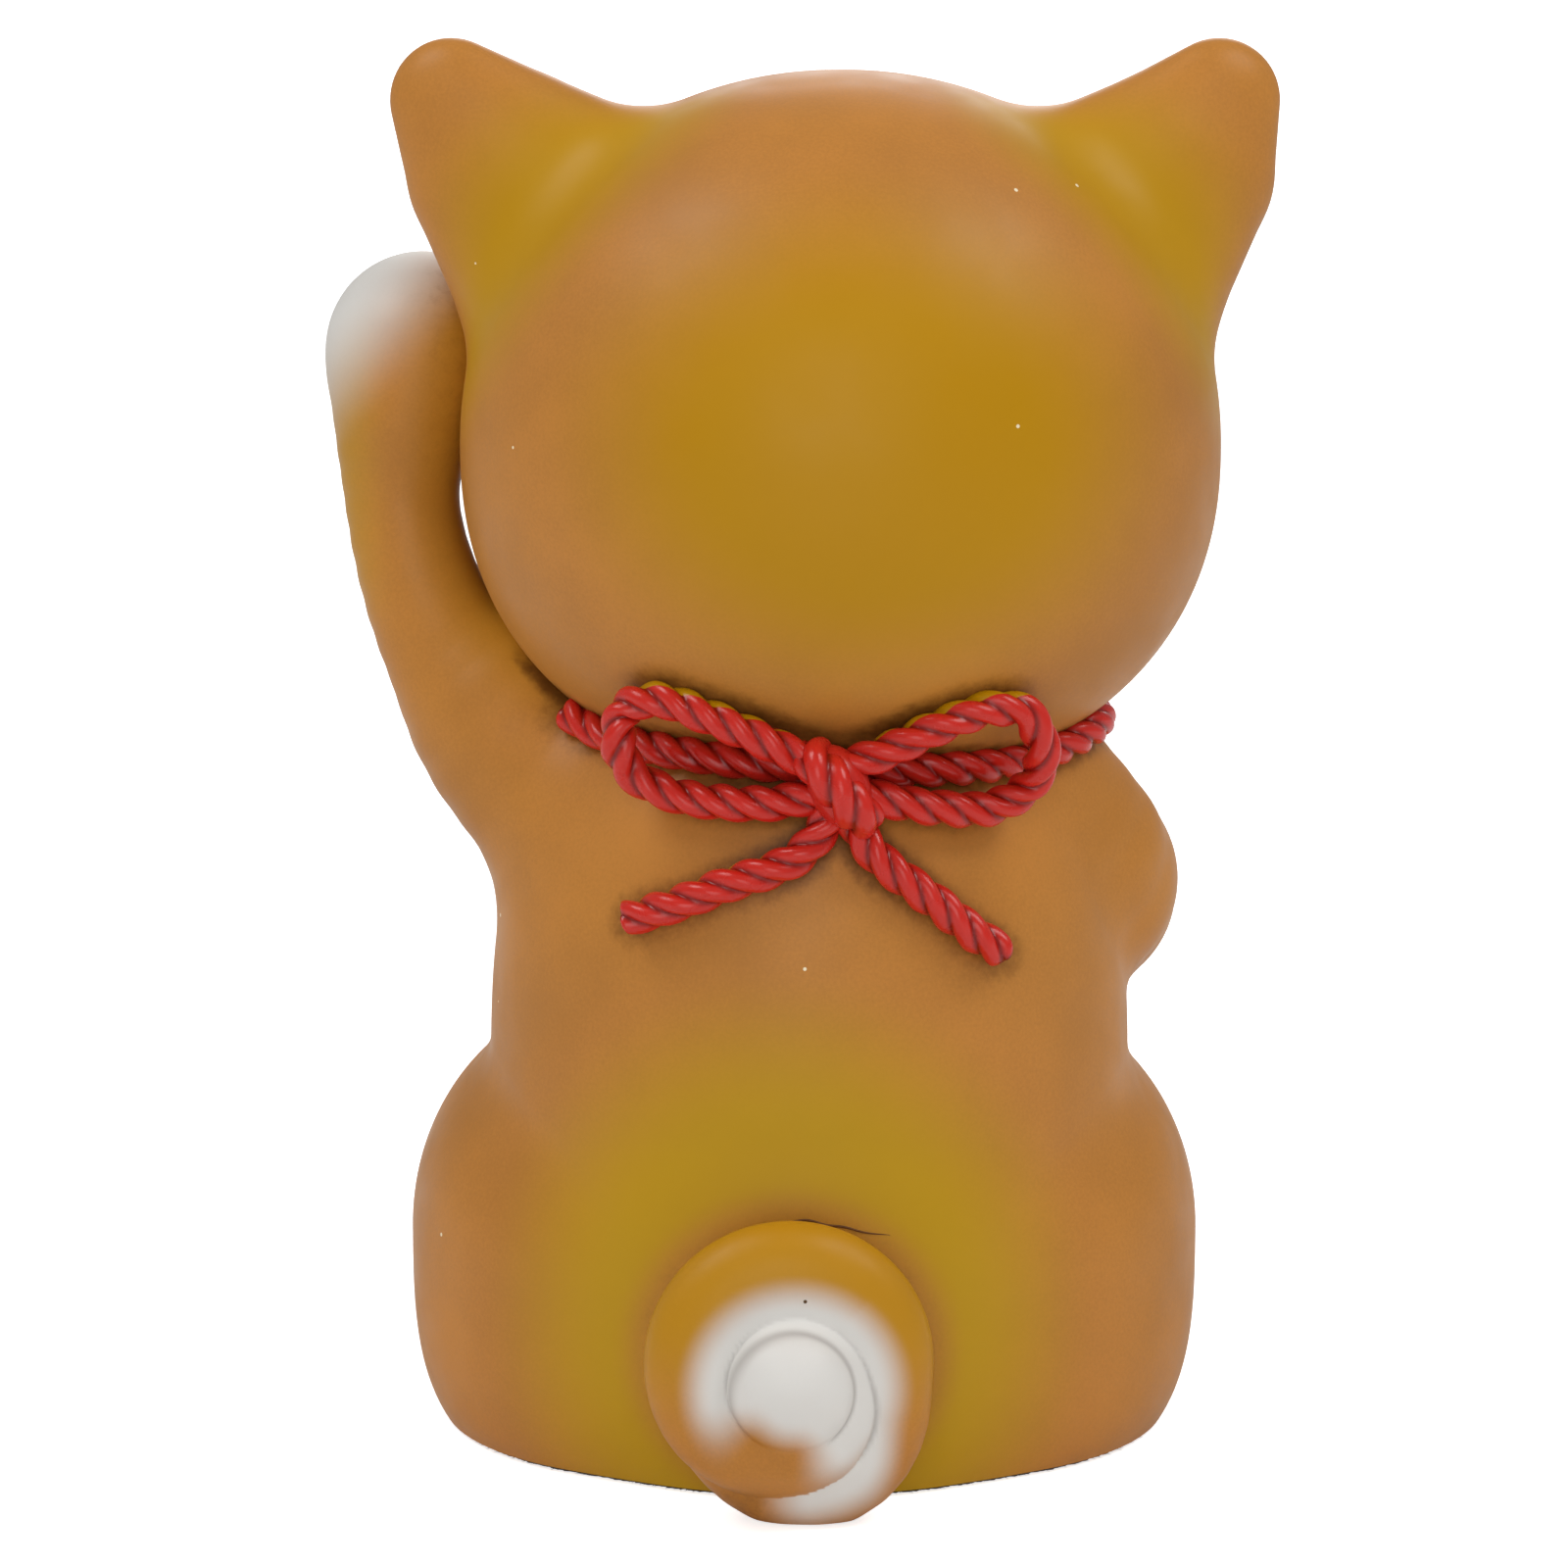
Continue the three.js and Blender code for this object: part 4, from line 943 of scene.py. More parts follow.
class Tree:
    """Adds nodes to a node tree, links them and sets their values in one call each."""

    def __init__(self, tree):
        self.tree = tree

    def wire(self, node, inputs):
        """Links a node's inputs to sockets, or gives them their values."""
        for key, value in inputs.items():
            if isinstance(value, bpy.types.NodeSocket):
                self.tree.links.new(value, node.inputs[key])
            else:
                node.inputs[key].default_value = value
        return node

    def add(self, kind, inputs=None, **settings):
        node = self.tree.nodes.new(kind)
        for key, value in settings.items():
            setattr(node, key, value)
        return self.wire(node, inputs or {})

    def math(self, operation, first, second):
        return self.add("ShaderNodeMath", {0: first, 1: second}, operation=operation).outputs[0]

    def mix(self, share, first, second):
        inputs = {0: share, 6: first, 7: second}
        return self.add("ShaderNodeMix", inputs, data_type="RGBA").outputs[2]

    def ramp(self, value, low, high, start=0.0, end=1.0):
        inputs = {"Value": value, "From Min": low, "From Max": high, "To Min": start, "To Max": end}
        return self.add("ShaderNodeMapRange", inputs, interpolation_type="SMOOTHSTEP").outputs[0]

    def noise(self, place, scale, detail=2.0, roughness=0.5, distortion=0.0):
        inputs = {"Vector": place, "Scale": scale, "Detail": detail,
                  "Roughness": roughness, "Distortion": distortion}
        return self.add("ShaderNodeTexNoise", inputs).outputs["Fac"]

    def mask(self, name):
        return self.add("ShaderNodeAttribute", attribute_name=name).outputs["Fac"]

    def group(self, shared, inputs):
        return self.add("ShaderNodeGroup", inputs, node_tree=shared)

    def bump(self, height, strength, distance=GRAIN_BUMP):
        inputs = {"Height": height, "Strength": strength, "Distance": distance}
        return self.add("ShaderNodeBump", inputs).outputs[0]


def linear(colour):
    """A colour as it looks on a screen, turned into light, with full cover."""
    values = np.asarray(colour[:3], float)
    light = np.where(values <= 0.04045, values / 12.92, ((values + 0.055) / 1.055) ** 2.4)
    return (*light.tolist(), 1.0)


def tinted(colour, factor):
    """A colour as it looks on a screen, made paler or deeper by a factor, turned into light."""
    return linear([min(1.0, part * factor) for part in colour])


def new_group(name, inputs, outputs):
    """An empty shader node group with named sockets."""
    shared = bpy.data.node_groups.new(name, "ShaderNodeTree")
    for key, (kind, value) in inputs.items():
        socket = shared.interface.new_socket(key, in_out="INPUT", socket_type=kind)
        if value is not None:
            socket.default_value = value
    for key, kind in outputs.items():
        shared.interface.new_socket(key, in_out="OUTPUT", socket_type=kind)
    tree = Tree(shared)
    return shared, tree, tree.add("NodeGroupInput").outputs, tree.add("NodeGroupOutput").inputs


def speck_group():
    """Dust that dried into the paint and pinholes from air bubbles: dots about some of the centres
    of a cell pattern, where a cell's random colour picks which centres have one."""
    name = "Specks"
    if name in bpy.data.node_groups:
        return bpy.data.node_groups[name]
    shared, tree, inputs, outputs = new_group(
        name,
        {"Vector": ("NodeSocketVector", None), "Scale": ("NodeSocketFloat", 900.0),
         "Amount": ("NodeSocketFloat", 0.02), "Size": ("NodeSocketFloat", 0.16)},
        {"Mask": "NodeSocketFloat"})
    cells = tree.add("ShaderNodeTexVoronoi", {"Vector": inputs["Vector"], "Scale": inputs["Scale"]})
    dot = tree.math("LESS_THAN", cells.outputs["Distance"], inputs["Size"])
    pick = tree.add("ShaderNodeSeparateColor", {0: cells.outputs["Color"]}).outputs[0]
    chosen = tree.math("LESS_THAN", pick, inputs["Amount"])
    tree.tree.links.new(tree.math("MULTIPLY", dot, chosen), outputs["Mask"])
    return shared


def grain_group():
    """Sprayed paint: a fine grain and a slow unevenness, as a height and as a spread of colour."""
    name = "Sprayed grain"
    if name in bpy.data.node_groups:
        return bpy.data.node_groups[name]
    shared, tree, inputs, outputs = new_group(
        name,
        {"Vector": ("NodeSocketVector", None), "Fine": ("NodeSocketFloat", 4200.0),
         "Slow": ("NodeSocketFloat", 260.0)},
        {"Height": "NodeSocketFloat", "Tone": "NodeSocketFloat"})
    fine = tree.noise(inputs["Vector"], inputs["Fine"], 3.0, 0.6)
    slow = tree.noise(inputs["Vector"], inputs["Slow"], 2.0, 0.5)
    height = tree.math("ADD", tree.math("MULTIPLY", fine, 0.25), slow)
    tree.tree.links.new(height, outputs["Height"])
    cloud = tree.noise(inputs["Vector"], CLOUD_SCALE, 3.0, 0.55)
    tone = tree.math("ADD", tree.math("MULTIPLY", fine, 0.35), tree.math("MULTIPLY", cloud, 0.65))
    tree.tree.links.new(tone, outputs["Tone"])
    return shared


def new_material(name):
    """A material with a plain shader, its tree, and the place in the object's own coordinates."""
    material = bpy.data.materials.new(name)
    material.use_nodes = True
    tree = Tree(material.node_tree)
    material.node_tree.nodes.clear()
    shader = tree.add("ShaderNodeBsdfPrincipled")
    output = tree.add("ShaderNodeOutputMaterial", {"Surface": shader.outputs[0]})
    output.is_active_output = True
    place = tree.add("ShaderNodeTexCoord").outputs["Object"]
    return material, tree, shader, place


def once(name, make):
    """A material that several pieces share is made the first time that it is asked for."""
    return bpy.data.materials.get(name) or make(name)


def fur_paint(name):
    """Airbrushed fur: a tan coat under soft patches, white, a brown wash that is partly painted shade, lines
    (in the tail's creases they are painted shade), dust and pinholes.
    """
    colours = bpy.context.scene.figurine_colours
    material, tree, shader, place = new_material(name)
    grain = tree.group(grain_group(), {"Vector": place}).outputs
    shade = tree.ramp(grain["Tone"], 0.3, 0.7)
    paint = tree.mix(shade, tinted(colours.coat, 0.95), tinted(colours.coat, 1.06))
    for key in ("ochre", "olive", "pink", "white", "line"):
        spread = tree.math("MULTIPLY", tree.mask(key), tree.ramp(grain["Tone"], 0.2, 0.5, 0.93, 1.0))
        paint = tree.mix(spread, paint, linear(getattr(colours, key)))
    frayed = tree.math("MULTIPLY", tree.noise(place, FRAY_SCALE, 4.0, 0.7), 0.6)
    # The wash mask paints a brown wash and painted shade in creases and beside parts
    washed_and_shaded = tree.ramp(tree.math("ADD", tree.mask("wash_and_shade"), frayed), 0.42, 1.25)
    paint = tree.mix(washed_and_shaded, paint, linear(colours.wash_and_shade))
    dust = tree.group(speck_group(), {"Vector": place, **DUST})
    holes = tree.group(speck_group(), {"Vector": place, **PINHOLES})
    paint = tree.mix(dust.outputs[0], paint, DUST_COLOUR)
    paint = tree.mix(holes.outputs[0], paint, PINHOLE_COLOUR)
    rough = tree.ramp(grain["Height"], *GRAIN_RANGE, 0.36, 0.46)
    rough = tree.math("ADD", rough, tree.math("MULTIPLY", tree.mask("white"), 0.08))
    tree.wire(shader, {
        "Base Color": paint, "Roughness": rough, "Specular IOR Level": 0.2,
        "Normal": tree.bump(grain["Height"], 0.09)})
    return material


def cord_paint(name):
    """Brushed red enamel over the ochre undercoat, with painted shade darkening it between the strands,
    missed here and there where a strand meets the casting."""
    colours = bpy.context.scene.figurine_colours
    material, tree, shader, place = new_material(name)
    grain = tree.group(grain_group(), {"Vector": place, "Fine": 2600.0, "Slow": 500.0}).outputs
    # Painted shade: darker red towards the bottom of the valleys between the strands
    valley = tree.ramp(tree.mask("valley"), 0.35, 1.0)
    paint = tree.mix(valley, linear(colours.cord), linear(colours.cord_painted_shade))
    patchy = tree.math("ADD", tree.mask("miss"), tree.math("MULTIPLY", grain["Tone"], 0.6))
    missed = tree.ramp(patchy, 0.95, 1.15)
    tree.wire(shader, {
        "Base Color": tree.mix(missed, paint, linear(colours.ochre)),
        "Roughness": tree.ramp(grain["Height"], *GRAIN_RANGE, 0.2, 0.3),
        "Specular IOR Level": 0.38, "Normal": tree.bump(grain["Height"], 0.25)})
    return material


def gold_paint(name):
    """Metallic gold enamel with a brown wash and painted shade in what lies low."""
    colours = bpy.context.scene.figurine_colours
    material, tree, shader, place = new_material(name)
    grain = tree.group(grain_group(), {"Vector": place, "Fine": 3600.0, "Slow": 600.0}).outputs
    flake = tree.ramp(grain["Tone"], 0.35, 0.65)
    paint = tree.mix(flake, linear(colours.gold), tinted(colours.gold, 1.08))
    # The low mask paints brown wash and painted shade, with less metal, in what lies low
    tree.wire(shader, {
        "Base Color": tree.mix(tree.mask("low"), paint, linear(colours.wash_and_shade)),
        "Metallic": tree.ramp(tree.mask("low"), 0.0, 1.0, 0.8, 0.1),
        "Roughness": tree.ramp(grain["Height"], *GRAIN_RANGE, 0.3, 0.46),
        "Normal": tree.bump(grain["Height"], 0.3)})
    return material


def black_enamel(name):
    """Glossy black for the nose and eyes, thinner at the rim."""
    colours = bpy.context.scene.figurine_colours
    material, tree, shader, place = new_material(name)
    grain = tree.group(grain_group(), {"Vector": place, "Slow": 900.0}).outputs
    thin = tree.math("MULTIPLY", tree.mask("rim"), tree.ramp(grain["Tone"], 0.3, 0.6))
    tree.wire(shader, {
        "Base Color": tree.mix(thin, linear(colours.enamel), linear(colours.enamel_rim)),
        "Roughness": tree.ramp(grain["Height"], *GRAIN_RANGE, 0.16, 0.28),
        "Normal": tree.bump(grain["Height"], 0.12)})
    return material


def wool_felt(name):
    """Pressed wool: short fibres in all directions, darker in its pores."""
    colours = bpy.context.scene.figurine_colours
    material, tree, shader, place = new_material(name)
    fibres = tree.noise(place, 3200.0, 4.0, 0.7, 2.0)
    tufts = tree.noise(place, 900.0, 2.0, 0.5)
    height = tree.math("ADD", fibres, tufts)
    pores = tree.ramp(height, 0.7, 1.3)
    tree.wire(shader, {
        "Base Color": tree.mix(pores, tinted(colours.felt, 0.6), tinted(colours.felt, 1.5)),
        "Roughness": 0.95, "Sheen Weight": 0.4, "Sheen Roughness": 0.5,
        "Normal": tree.bump(height, 0.8, FELT_BUMP)})
    return material


# Painted masks

# A spot is a place, its reach along each axis, and the share of it that is full
HEAD_PATCH = (HEAD_CENTRE + (-2.0, 22.0, 3.2), np.array([24.5, 28.0, 20.5]), 0.42)
MUZZLE_WHITE = (HEAD_CENTRE + (0.0, -22.0, -13.0), np.array([21.0, 16.0, 15.0]), 0.55)
BROW_OFFSET = np.array([7.2, -20.0, 8.0])
BROW_REACH = (np.array([3.6, 9.0, 3.0]), 0.4)
CHEST_WHITE = (np.array([-1.0, -23.0, 29.0]), np.array([14.5, 12.0, 27.0]), 0.6)
FOOT_WHITE_OFFSET = np.array([0.0, -6.0, -1.0])
FOOT_WHITE = (np.array([8.5, 8.5, 7.5]), 0.5)
FOLDED_PAW_WHITE = (FOLDED_ARM[-1] + (1.5, -2.0, 0.0), np.array([8.5, 8.5, 8.0]), 0.55)

# Lines, from the middle of the head, foot or paw
MOUTH_MIDDLE = (-7.6, -10.0, -11.6)
MOUTH_SIDE = ((0.0, -11.6), (1.7, -12.7), (3.7, -12.5), (5.4, -11.2))
MOUTH_GROOVE = (0.42, 0.45)
TOE_SHIFTS = (-2.1, 2.1)
TOE_HEIGHTS = np.linspace(1.6, 6.6, 7)
TOE_GROOVE = (0.45, 0.5)
RAISED_TOE_SHIFTS = (-2.0, 2.0)
RAISED_TOE_HEIGHTS = np.linspace(-4.2, 2.2, 7) + RAISED_PAW_CENTRE[2]
FOLDED_TOE_RISES = (-1.9, 1.9)
FOLDED_TOE_ACROSS = np.linspace(-7.6, -3.4, 7)

# A fade is the two distances, heights or places along an axis between which a mask changes
MOUTH_FADE = (0.25, 0.55)
TOE_FADE = (0.2, 0.5)
HEAD_BEHIND = (-4.0, 8.0)
EAR_BEHIND = (-3.0, 2.0)
EAR_SKULL_FADE = (1.5, 10.0)
EAR_SIDE_FADE = (1.0, 8.0)
EAR_HOLLOW_FADE = (-0.2, 1.4)
FACE_FADE = (-14.0, -6.0)
TRUNK_BEHIND = (0.0, 9.0)
TAIL_RING_REACH = (12.5, 15.5)
TAIL_RING_FADE = (0.95, 1.75)
TAIL_HALO_CENTRE = (0.1, 0.3)
TAIL_HALO_FADE = (9.7, 12.6)
# Where the wash and painted shade beside the tail fade out
TAIL_WASH_AND_SHADE_FADE = (0.1, 2.2)
ARM_SIDE_FADE = (0.3, 2.5)
INNER_ARM_FADE = (-1.0, 6.5)
INNER_ARM_HEIGHTS = (50.0, 58.0)
# Heights of the painted shade on the inner arm
INNER_ARM_SHADE_HEIGHTS = (64.0, 70.0)
OUTER_ARM_FADE = (28.5, 33.0)
OUTER_ARM_HEIGHTS = (54.0, 62.0)
PAW_AIM = np.array([0.73, -0.136, 0.68])
PAW_BACK_FADE = (-1.6, 6.4)
PAW_BACK_HEIGHTS = (62.0, 70.0)
PAW_FRONT_FADE = (-16.5, -11.5)
PAW_FRONT_HEIGHTS = (66.0, 70.0)
GLUE_FADE = (0.4, 1.6)
GLUE_BOTTOM = (49.0, 51.0)
GLUE_TOP = (55.0, 58.0)

# The wash and painted shade beside the cords: how far from the knot it is looked for, and how strong it is
# away from it
WASH_HEIGHT = 16.0
WASH_STEP = 0.7
WASH_FADE = (1.05 * CORD_RADIUS, 2.5 * CORD_RADIUS)
WASH_KNOT_FADE = (3.0, 13.0)
WASH_AWAY = 0.62

# The tail's paint, on the tail as the airbrush saw it. Turns are in degrees
TAIL_VIEW_SLANT = 0.213
TAIL_VIEW_MIDDLE = TAIL_CENTRE + (0.0, 1.5, 0.0)
TAIL_ROOT_ENDS = 40.0
TAIL_ROOT_WHITE = (5.6, 8.4)
TAIL_ROOT_WIDER = 2.3
TAIL_ROOT_TURNS = (-60.0, -15.0)
TAIL_ROOT_ACROSS = (-2.4, 1.6)
TAIL_WHITE = (5.5, 8.3)
TAIL_WHITE_DEPTH = (0.0, 1.5)
ORANGE_REACH = (1.8, 4.4)
ORANGE_FROM = (-172.0, -128.0)
ORANGE_TO = (-92.0, -52.0)
OUTER_TURN = (TAIL_START, TAIL_TURN_FROM)
INNER_TURN = (TAIL_TURN_FROM + 65.0, TAIL_START + TAIL_SWEEP - 80.0)
TIP_TURN = (TAIL_START + TAIL_SWEEP - 30.0, TAIL_START + TAIL_SWEEP)
CREASE_WIDTH = (0.0, 0.4)
CREASE_HEIGHTS = (-8.0, -4.5)
UNDER_ACROSS = (-3.0, 1.5)
UNDER_HEIGHTS = (-9.5, -7.5)
TAIL_OCHRE_HEIGHTS = (-7.0, 3.0)


def cord_lines():
    """The middle lines of the neck cord and of the four parts of the bow."""
    lines = [neck_route(NECK_CORD_LIFT)]
    places = (LEFT_LOOP, RIGHT_LOOP, LEFT_END, RIGHT_END)
    return lines + [bow_route(each, CORD_LIFT) for each in places]


def cord_wash_and_shade(points):
    """The brown wash and painted shade beside the cords, from each point's distance to their lines. It is
    strongest at the knot."""
    wash_and_shade = np.zeros(len(points))
    near = np.abs(points[:, 2] - KNOT_PLACE[1]) < WASH_HEIGHT
    least = np.full(near.sum(), np.inf)
    for line in cord_lines():
        _, places, _ = evenly(line, WASH_STEP)
        least = np.minimum(least, line_distance(points[near], places))
    knot = np.hypot(points[:, 0] - KNOT_PLACE[0], points[:, 2] - KNOT_PLACE[1])
    strength = WASH_AWAY + (1 - WASH_AWAY) * (1 - smooth_step(*WASH_KNOT_FADE, knot))
    wash_and_shade[near] = 1 - smooth_step(*WASH_FADE, least)
    return wash_and_shade * strength


def mouth_lines():
    """A line down from the nose, and one out to each side from its foot."""
    x, _, z = HEAD_CENTRE
    lines = [in_front(HEAD, [(x, z + up) for up in MOUTH_MIDDLE])]
    for side in (-1, 1):
        lines.append(in_front(HEAD, [(x + side * out, z + up) for out, up in MOUTH_SIDE]))
    return lines


def toe_lines():
    """Two lines between the toes of each hind foot, of the raised paw and of the folded one."""
    lines = []
    for side in (-1, 1):
        for shift in TOE_SHIFTS:
            x = side * FOOT_CENTRE[0] + shift + 0 * TOE_HEIGHTS
            lines.append(seat_in_front(TORSO, x, TOE_HEIGHTS, 0 * x))
    for shift in RAISED_TOE_SHIFTS:
        x = RAISED_PAW_CENTRE[0] + shift + 0 * RAISED_TOE_HEIGHTS
        lines.append(seat_in_front(TRUNK, x, RAISED_TOE_HEIGHTS, 0 * x))
    for rise in FOLDED_TOE_RISES:
        z = FOLDED_ARM[-1][2] + rise + 0 * FOLDED_TOE_ACROSS
        lines.append(seat_in_front(TRUNK, FOLDED_TOE_ACROSS, z, 0 * z))
    return lines


def head_masks(points):
    """An ochre patch behind, olive at the foot of the ears, pink in their hollows, white on the muzzle and
    brows, the wash and painted shade beside the cord, and the mouth."""
    y = points[:, 1]
    patch = spot(points, *HEAD_PATCH) * smooth_step(*HEAD_BEHIND, y)
    olive = np.zeros(len(points))
    pink = np.zeros(len(points))
    near_skull = 1 - smooth_step(*EAR_SKULL_FADE, SKULL.at(*points.T))
    for ear, inner in EARS:
        near_ear = 1 - smooth_step(*EAR_SIDE_FADE, ear.at(*points.T))
        olive = np.maximum(olive, near_skull * near_ear * smooth_step(*EAR_BEHIND, y))
        deep = 1 - smooth_step(*EAR_HOLLOW_FADE, inner.at(*points.T))
        pink = np.maximum(pink, deep * (y < HEAD_CENTRE[1]))
    white = spot(points, *MUZZLE_WHITE)
    for side in (-1, 1):
        brow = HEAD_CENTRE + mirrored(BROW_OFFSET, side)
        white = np.maximum(white, spot(points, brow, *BROW_REACH))
    mouth = np.min([line_distance(points, line) for line in mouth_lines()], 0)
    return {
        "ochre": np.maximum(patch, 0.85 * olive),
        "olive": 0.35 * olive,
        "pink": pink,
        "white": white * (1 - smooth_step(*FACE_FADE, y)),
        # Wash and painted shade beside the cord
        "wash_and_shade": 0.85 * cord_wash_and_shade(points),
        "line": 1 - smooth_step(*MOUTH_FADE, mouth),
    }


def trunk_masks(points):
    """An olive ring round the tail, ochre inside and olive outside on the raised arm, white on its paw, the
    chest, the feet and the folded paw, the wash and painted shade beside the cords and round the tail,
    painted shade on the inner arm near the wrist, the glue of the arm, and the toes."""
    x, y, z = points.T
    behind = smooth_step(*TRUNK_BEHIND, y)
    wide, tall = TAIL_RING_REACH
    away = np.hypot((x - TAIL_CENTRE[0]) / wide, (z - TAIL_CENTRE[2]) / tall)
    across, up = on_tail(points)
    from_halo = np.hypot(across - TAIL_HALO_CENTRE[0], up - TAIL_HALO_CENTRE[1])
    # A faint wash and painted shade on the back round the tail
    halo = (1 - smooth_step(*TAIL_HALO_FADE, from_halo)) * behind
    ring = (1 - smooth_step(*TAIL_RING_FADE, away)) * behind * (1 - 0.75 * halo)
    # Brown wash and painted shade where the tail meets the back
    near_tail = (1 - smooth_step(*TAIL_WASH_AND_SHADE_FADE, TAIL.at(*points.T))) * behind
    off_head = HEAD.at(*points.T)
    on_arm = 1 - smooth_step(*ARM_SIDE_FADE, ARM.at(*points.T))
    inner_arm = on_arm * (1 - smooth_step(*INNER_ARM_FADE, off_head)) * smooth_step(*INNER_ARM_HEIGHTS, z)
    # Painted shade on the inner side of the raised arm, near the wrist
    inner_arm_shade = inner_arm * smooth_step(*INNER_ARM_SHADE_HEIGHTS, z)
    outer_arm = on_arm * smooth_step(*OUTER_ARM_FADE, x) * smooth_step(*OUTER_ARM_HEIGHTS, z)
    toward = (points - RAISED_PAW_CENTRE) @ PAW_AIM
    paw_back = on_arm * smooth_step(*PAW_BACK_FADE, toward) * smooth_step(*PAW_BACK_HEIGHTS, z)
    paw_front = on_arm * (1 - smooth_step(*PAW_FRONT_FADE, y)) * smooth_step(*PAW_FRONT_HEIGHTS, z)
    glue = on_arm * (1 - smooth_step(*GLUE_FADE, off_head))
    glue = glue * smooth_step(*GLUE_BOTTOM, z) * (1 - smooth_step(*GLUE_TOP, z))
    chest = spot(points, *CHEST_WHITE)
    left, right = (
        spot(points, mirrored(FOOT_CENTRE + FOOT_WHITE_OFFSET, side), *FOOT_WHITE) for side in (1, -1))
    folded = spot(points, *FOLDED_PAW_WHITE)
    toes = np.min([line_distance(points, line) for line in toe_lines()], 0)
    return {
        "ochre": np.maximum(0.55 * inner_arm, 0.45 * ring),
        "olive": np.maximum(0.85 * ring, 0.45 * outer_arm),
        "white": np.maximum.reduce([paw_back, paw_front, chest, left, right, folded]),
        "wash_and_shade": np.maximum.reduce([
            0.85 * cord_wash_and_shade(points), 0.55 * near_tail, 0.18 * halo, 0.9 * glue, 0.3 * inner_arm_shade]),
        "line": 0.8 * (1 - smooth_step(*TOE_FADE, toes)),
    }


def on_tail(points):
    """Places on the tail as the airbrush saw it, from behind and a little above: right and up of its
    middle."""
    off = points - TAIL_VIEW_MIDDLE
    return -off[:, 0], off[:, 2] - TAIL_VIEW_SLANT * off[:, 1]


def tail_masks(points):
    """White sprayed round the tip and along the inner slope of the outer turn, with orange left low on the
    curl, painted shade as thin dark lines in the creases between the turns, partly a brown wash, and brown
    wash and painted shade under the root."""
    across, up = on_tail(points)
    aside, above = across - TAIL_PAINT_CENTRE[0], up - TAIL_PAINT_CENTRE[1]
    radius = np.hypot(aside, above)
    turned = np.degrees(np.arctan2(above, aside))
    root = tail_run(TAIL_START, TAIL_ROOT_ENDS)
    rest = tail_run(TAIL_ROOT_ENDS, TAIL_START + TAIL_SWEEP)
    wider = TAIL_ROOT_WIDER * (1 - smooth_step(*TAIL_ROOT_TURNS, turned))
    root_white = (1 - smooth_step(*TAIL_ROOT_WHITE, radius - wider)) * smooth_step(*TAIL_ROOT_ACROSS, across)
    orange = smooth_step(*ORANGE_FROM, turned) * (1 - smooth_step(*ORANGE_TO, turned))
    white = 1 - smooth_step(*TAIL_WHITE, radius)
    white = white * (1 - orange * smooth_step(*ORANGE_REACH, radius))
    white = np.where(root.at(*points.T) < rest.at(*points.T), root_white, white)
    white = white * smooth_step(*TAIL_WHITE_DEPTH, points[:, 1] - TAIL_CENTRE[1])
    # Painted shade, partly a brown wash: thin dark lines along the creases between the turns
    outer, inner, tip = (tail_run(*span).at(*points.T) for span in (OUTER_TURN, INNER_TURN, TIP_TURN))
    gap = np.minimum(np.maximum(outer, inner), np.maximum(inner, tip))
    creases = (1 - smooth_step(*CREASE_WIDTH, gap)) * smooth_step(*CREASE_HEIGHTS, up)
    # Brown wash and painted shade under the root of the tail
    under = (1 - smooth_step(*UNDER_ACROSS, across)) * (1 - smooth_step(*UNDER_HEIGHTS, up))
    return {
        "ochre": 0.8 * (1 - white) * smooth_step(*TAIL_OCHRE_HEIGHTS, up),
        "white": white,
        "wash_and_shade": 0.4 * under * (1 - white),
        "line": 0.38 * creases,
    }


def dome(centre, size, tilt=0.0, rows=24, columns=48):
    """A ball drawn out to a size along each axis: the rows go from pole to pole along Y."""
    polar = np.linspace(0, math.pi, rows + 2)[1:-1][:, None]
    angle = around(columns)[None, :]
    ball = np.stack([
        np.sin(polar) * np.cos(angle), np.cos(polar) + 0 * angle, np.sin(polar) * np.sin(angle)], -1)
    ball = ball * size
    cosine, sine = math.cos(math.radians(tilt)), math.sin(math.radians(tilt))
    turned = np.stack([
        cosine * ball[..., 0] + sine * ball[..., 2], ball[..., 1],
        -sine * ball[..., 0] + cosine * ball[..., 2]], -1)
    return turned + centre


# Operators

class FIGURINE_OT_head(bpy.types.Operator):
    """Builds the head casting with its ears, nose and eyes"""

    bl_idname = "figurine.head"
    bl_label = "Head"

    def execute(self, context):
        sizes = context.scene.figurine_sizes
        mass = scored(HEAD, mouth_lines(), *MOUTH_GROOVE)
        points, faces = skin_of(mass, sizes.skin_cell / MM)
        add_piece("head_painted", points, faces, once("Fur paint", fur_paint),
                  ["head_casting"], head_masks(points), unit(slopes(mass, points)))
        x, _, z = HEAD_CENTRE
        nose = seat_in_front(HEAD, [x], [z + NOSE_RISE], [0.0])[0]
        places = [("nose", nose, NOSE_SIZE)]
        for side, word in ((-1, "right"), (1, "left")):
            eye = seat_in_front(HEAD, [x + side * EYE_SPREAD], [z + EYE_RISE], [0.0])[0]
            places.append(("eye_" + word, eye, EYE_SIZE))
        for name, place, size in places:
            surface, quads = closed_tube(dome(place, size))
            rim = smooth_step(*ENAMEL_RIM, (surface[:, 1] - place[1]) / size[1])
            add_piece(name, surface, quads, once("Black enamel", black_enamel),
                      masks={"rim": rim})
        return {"FINISHED"}


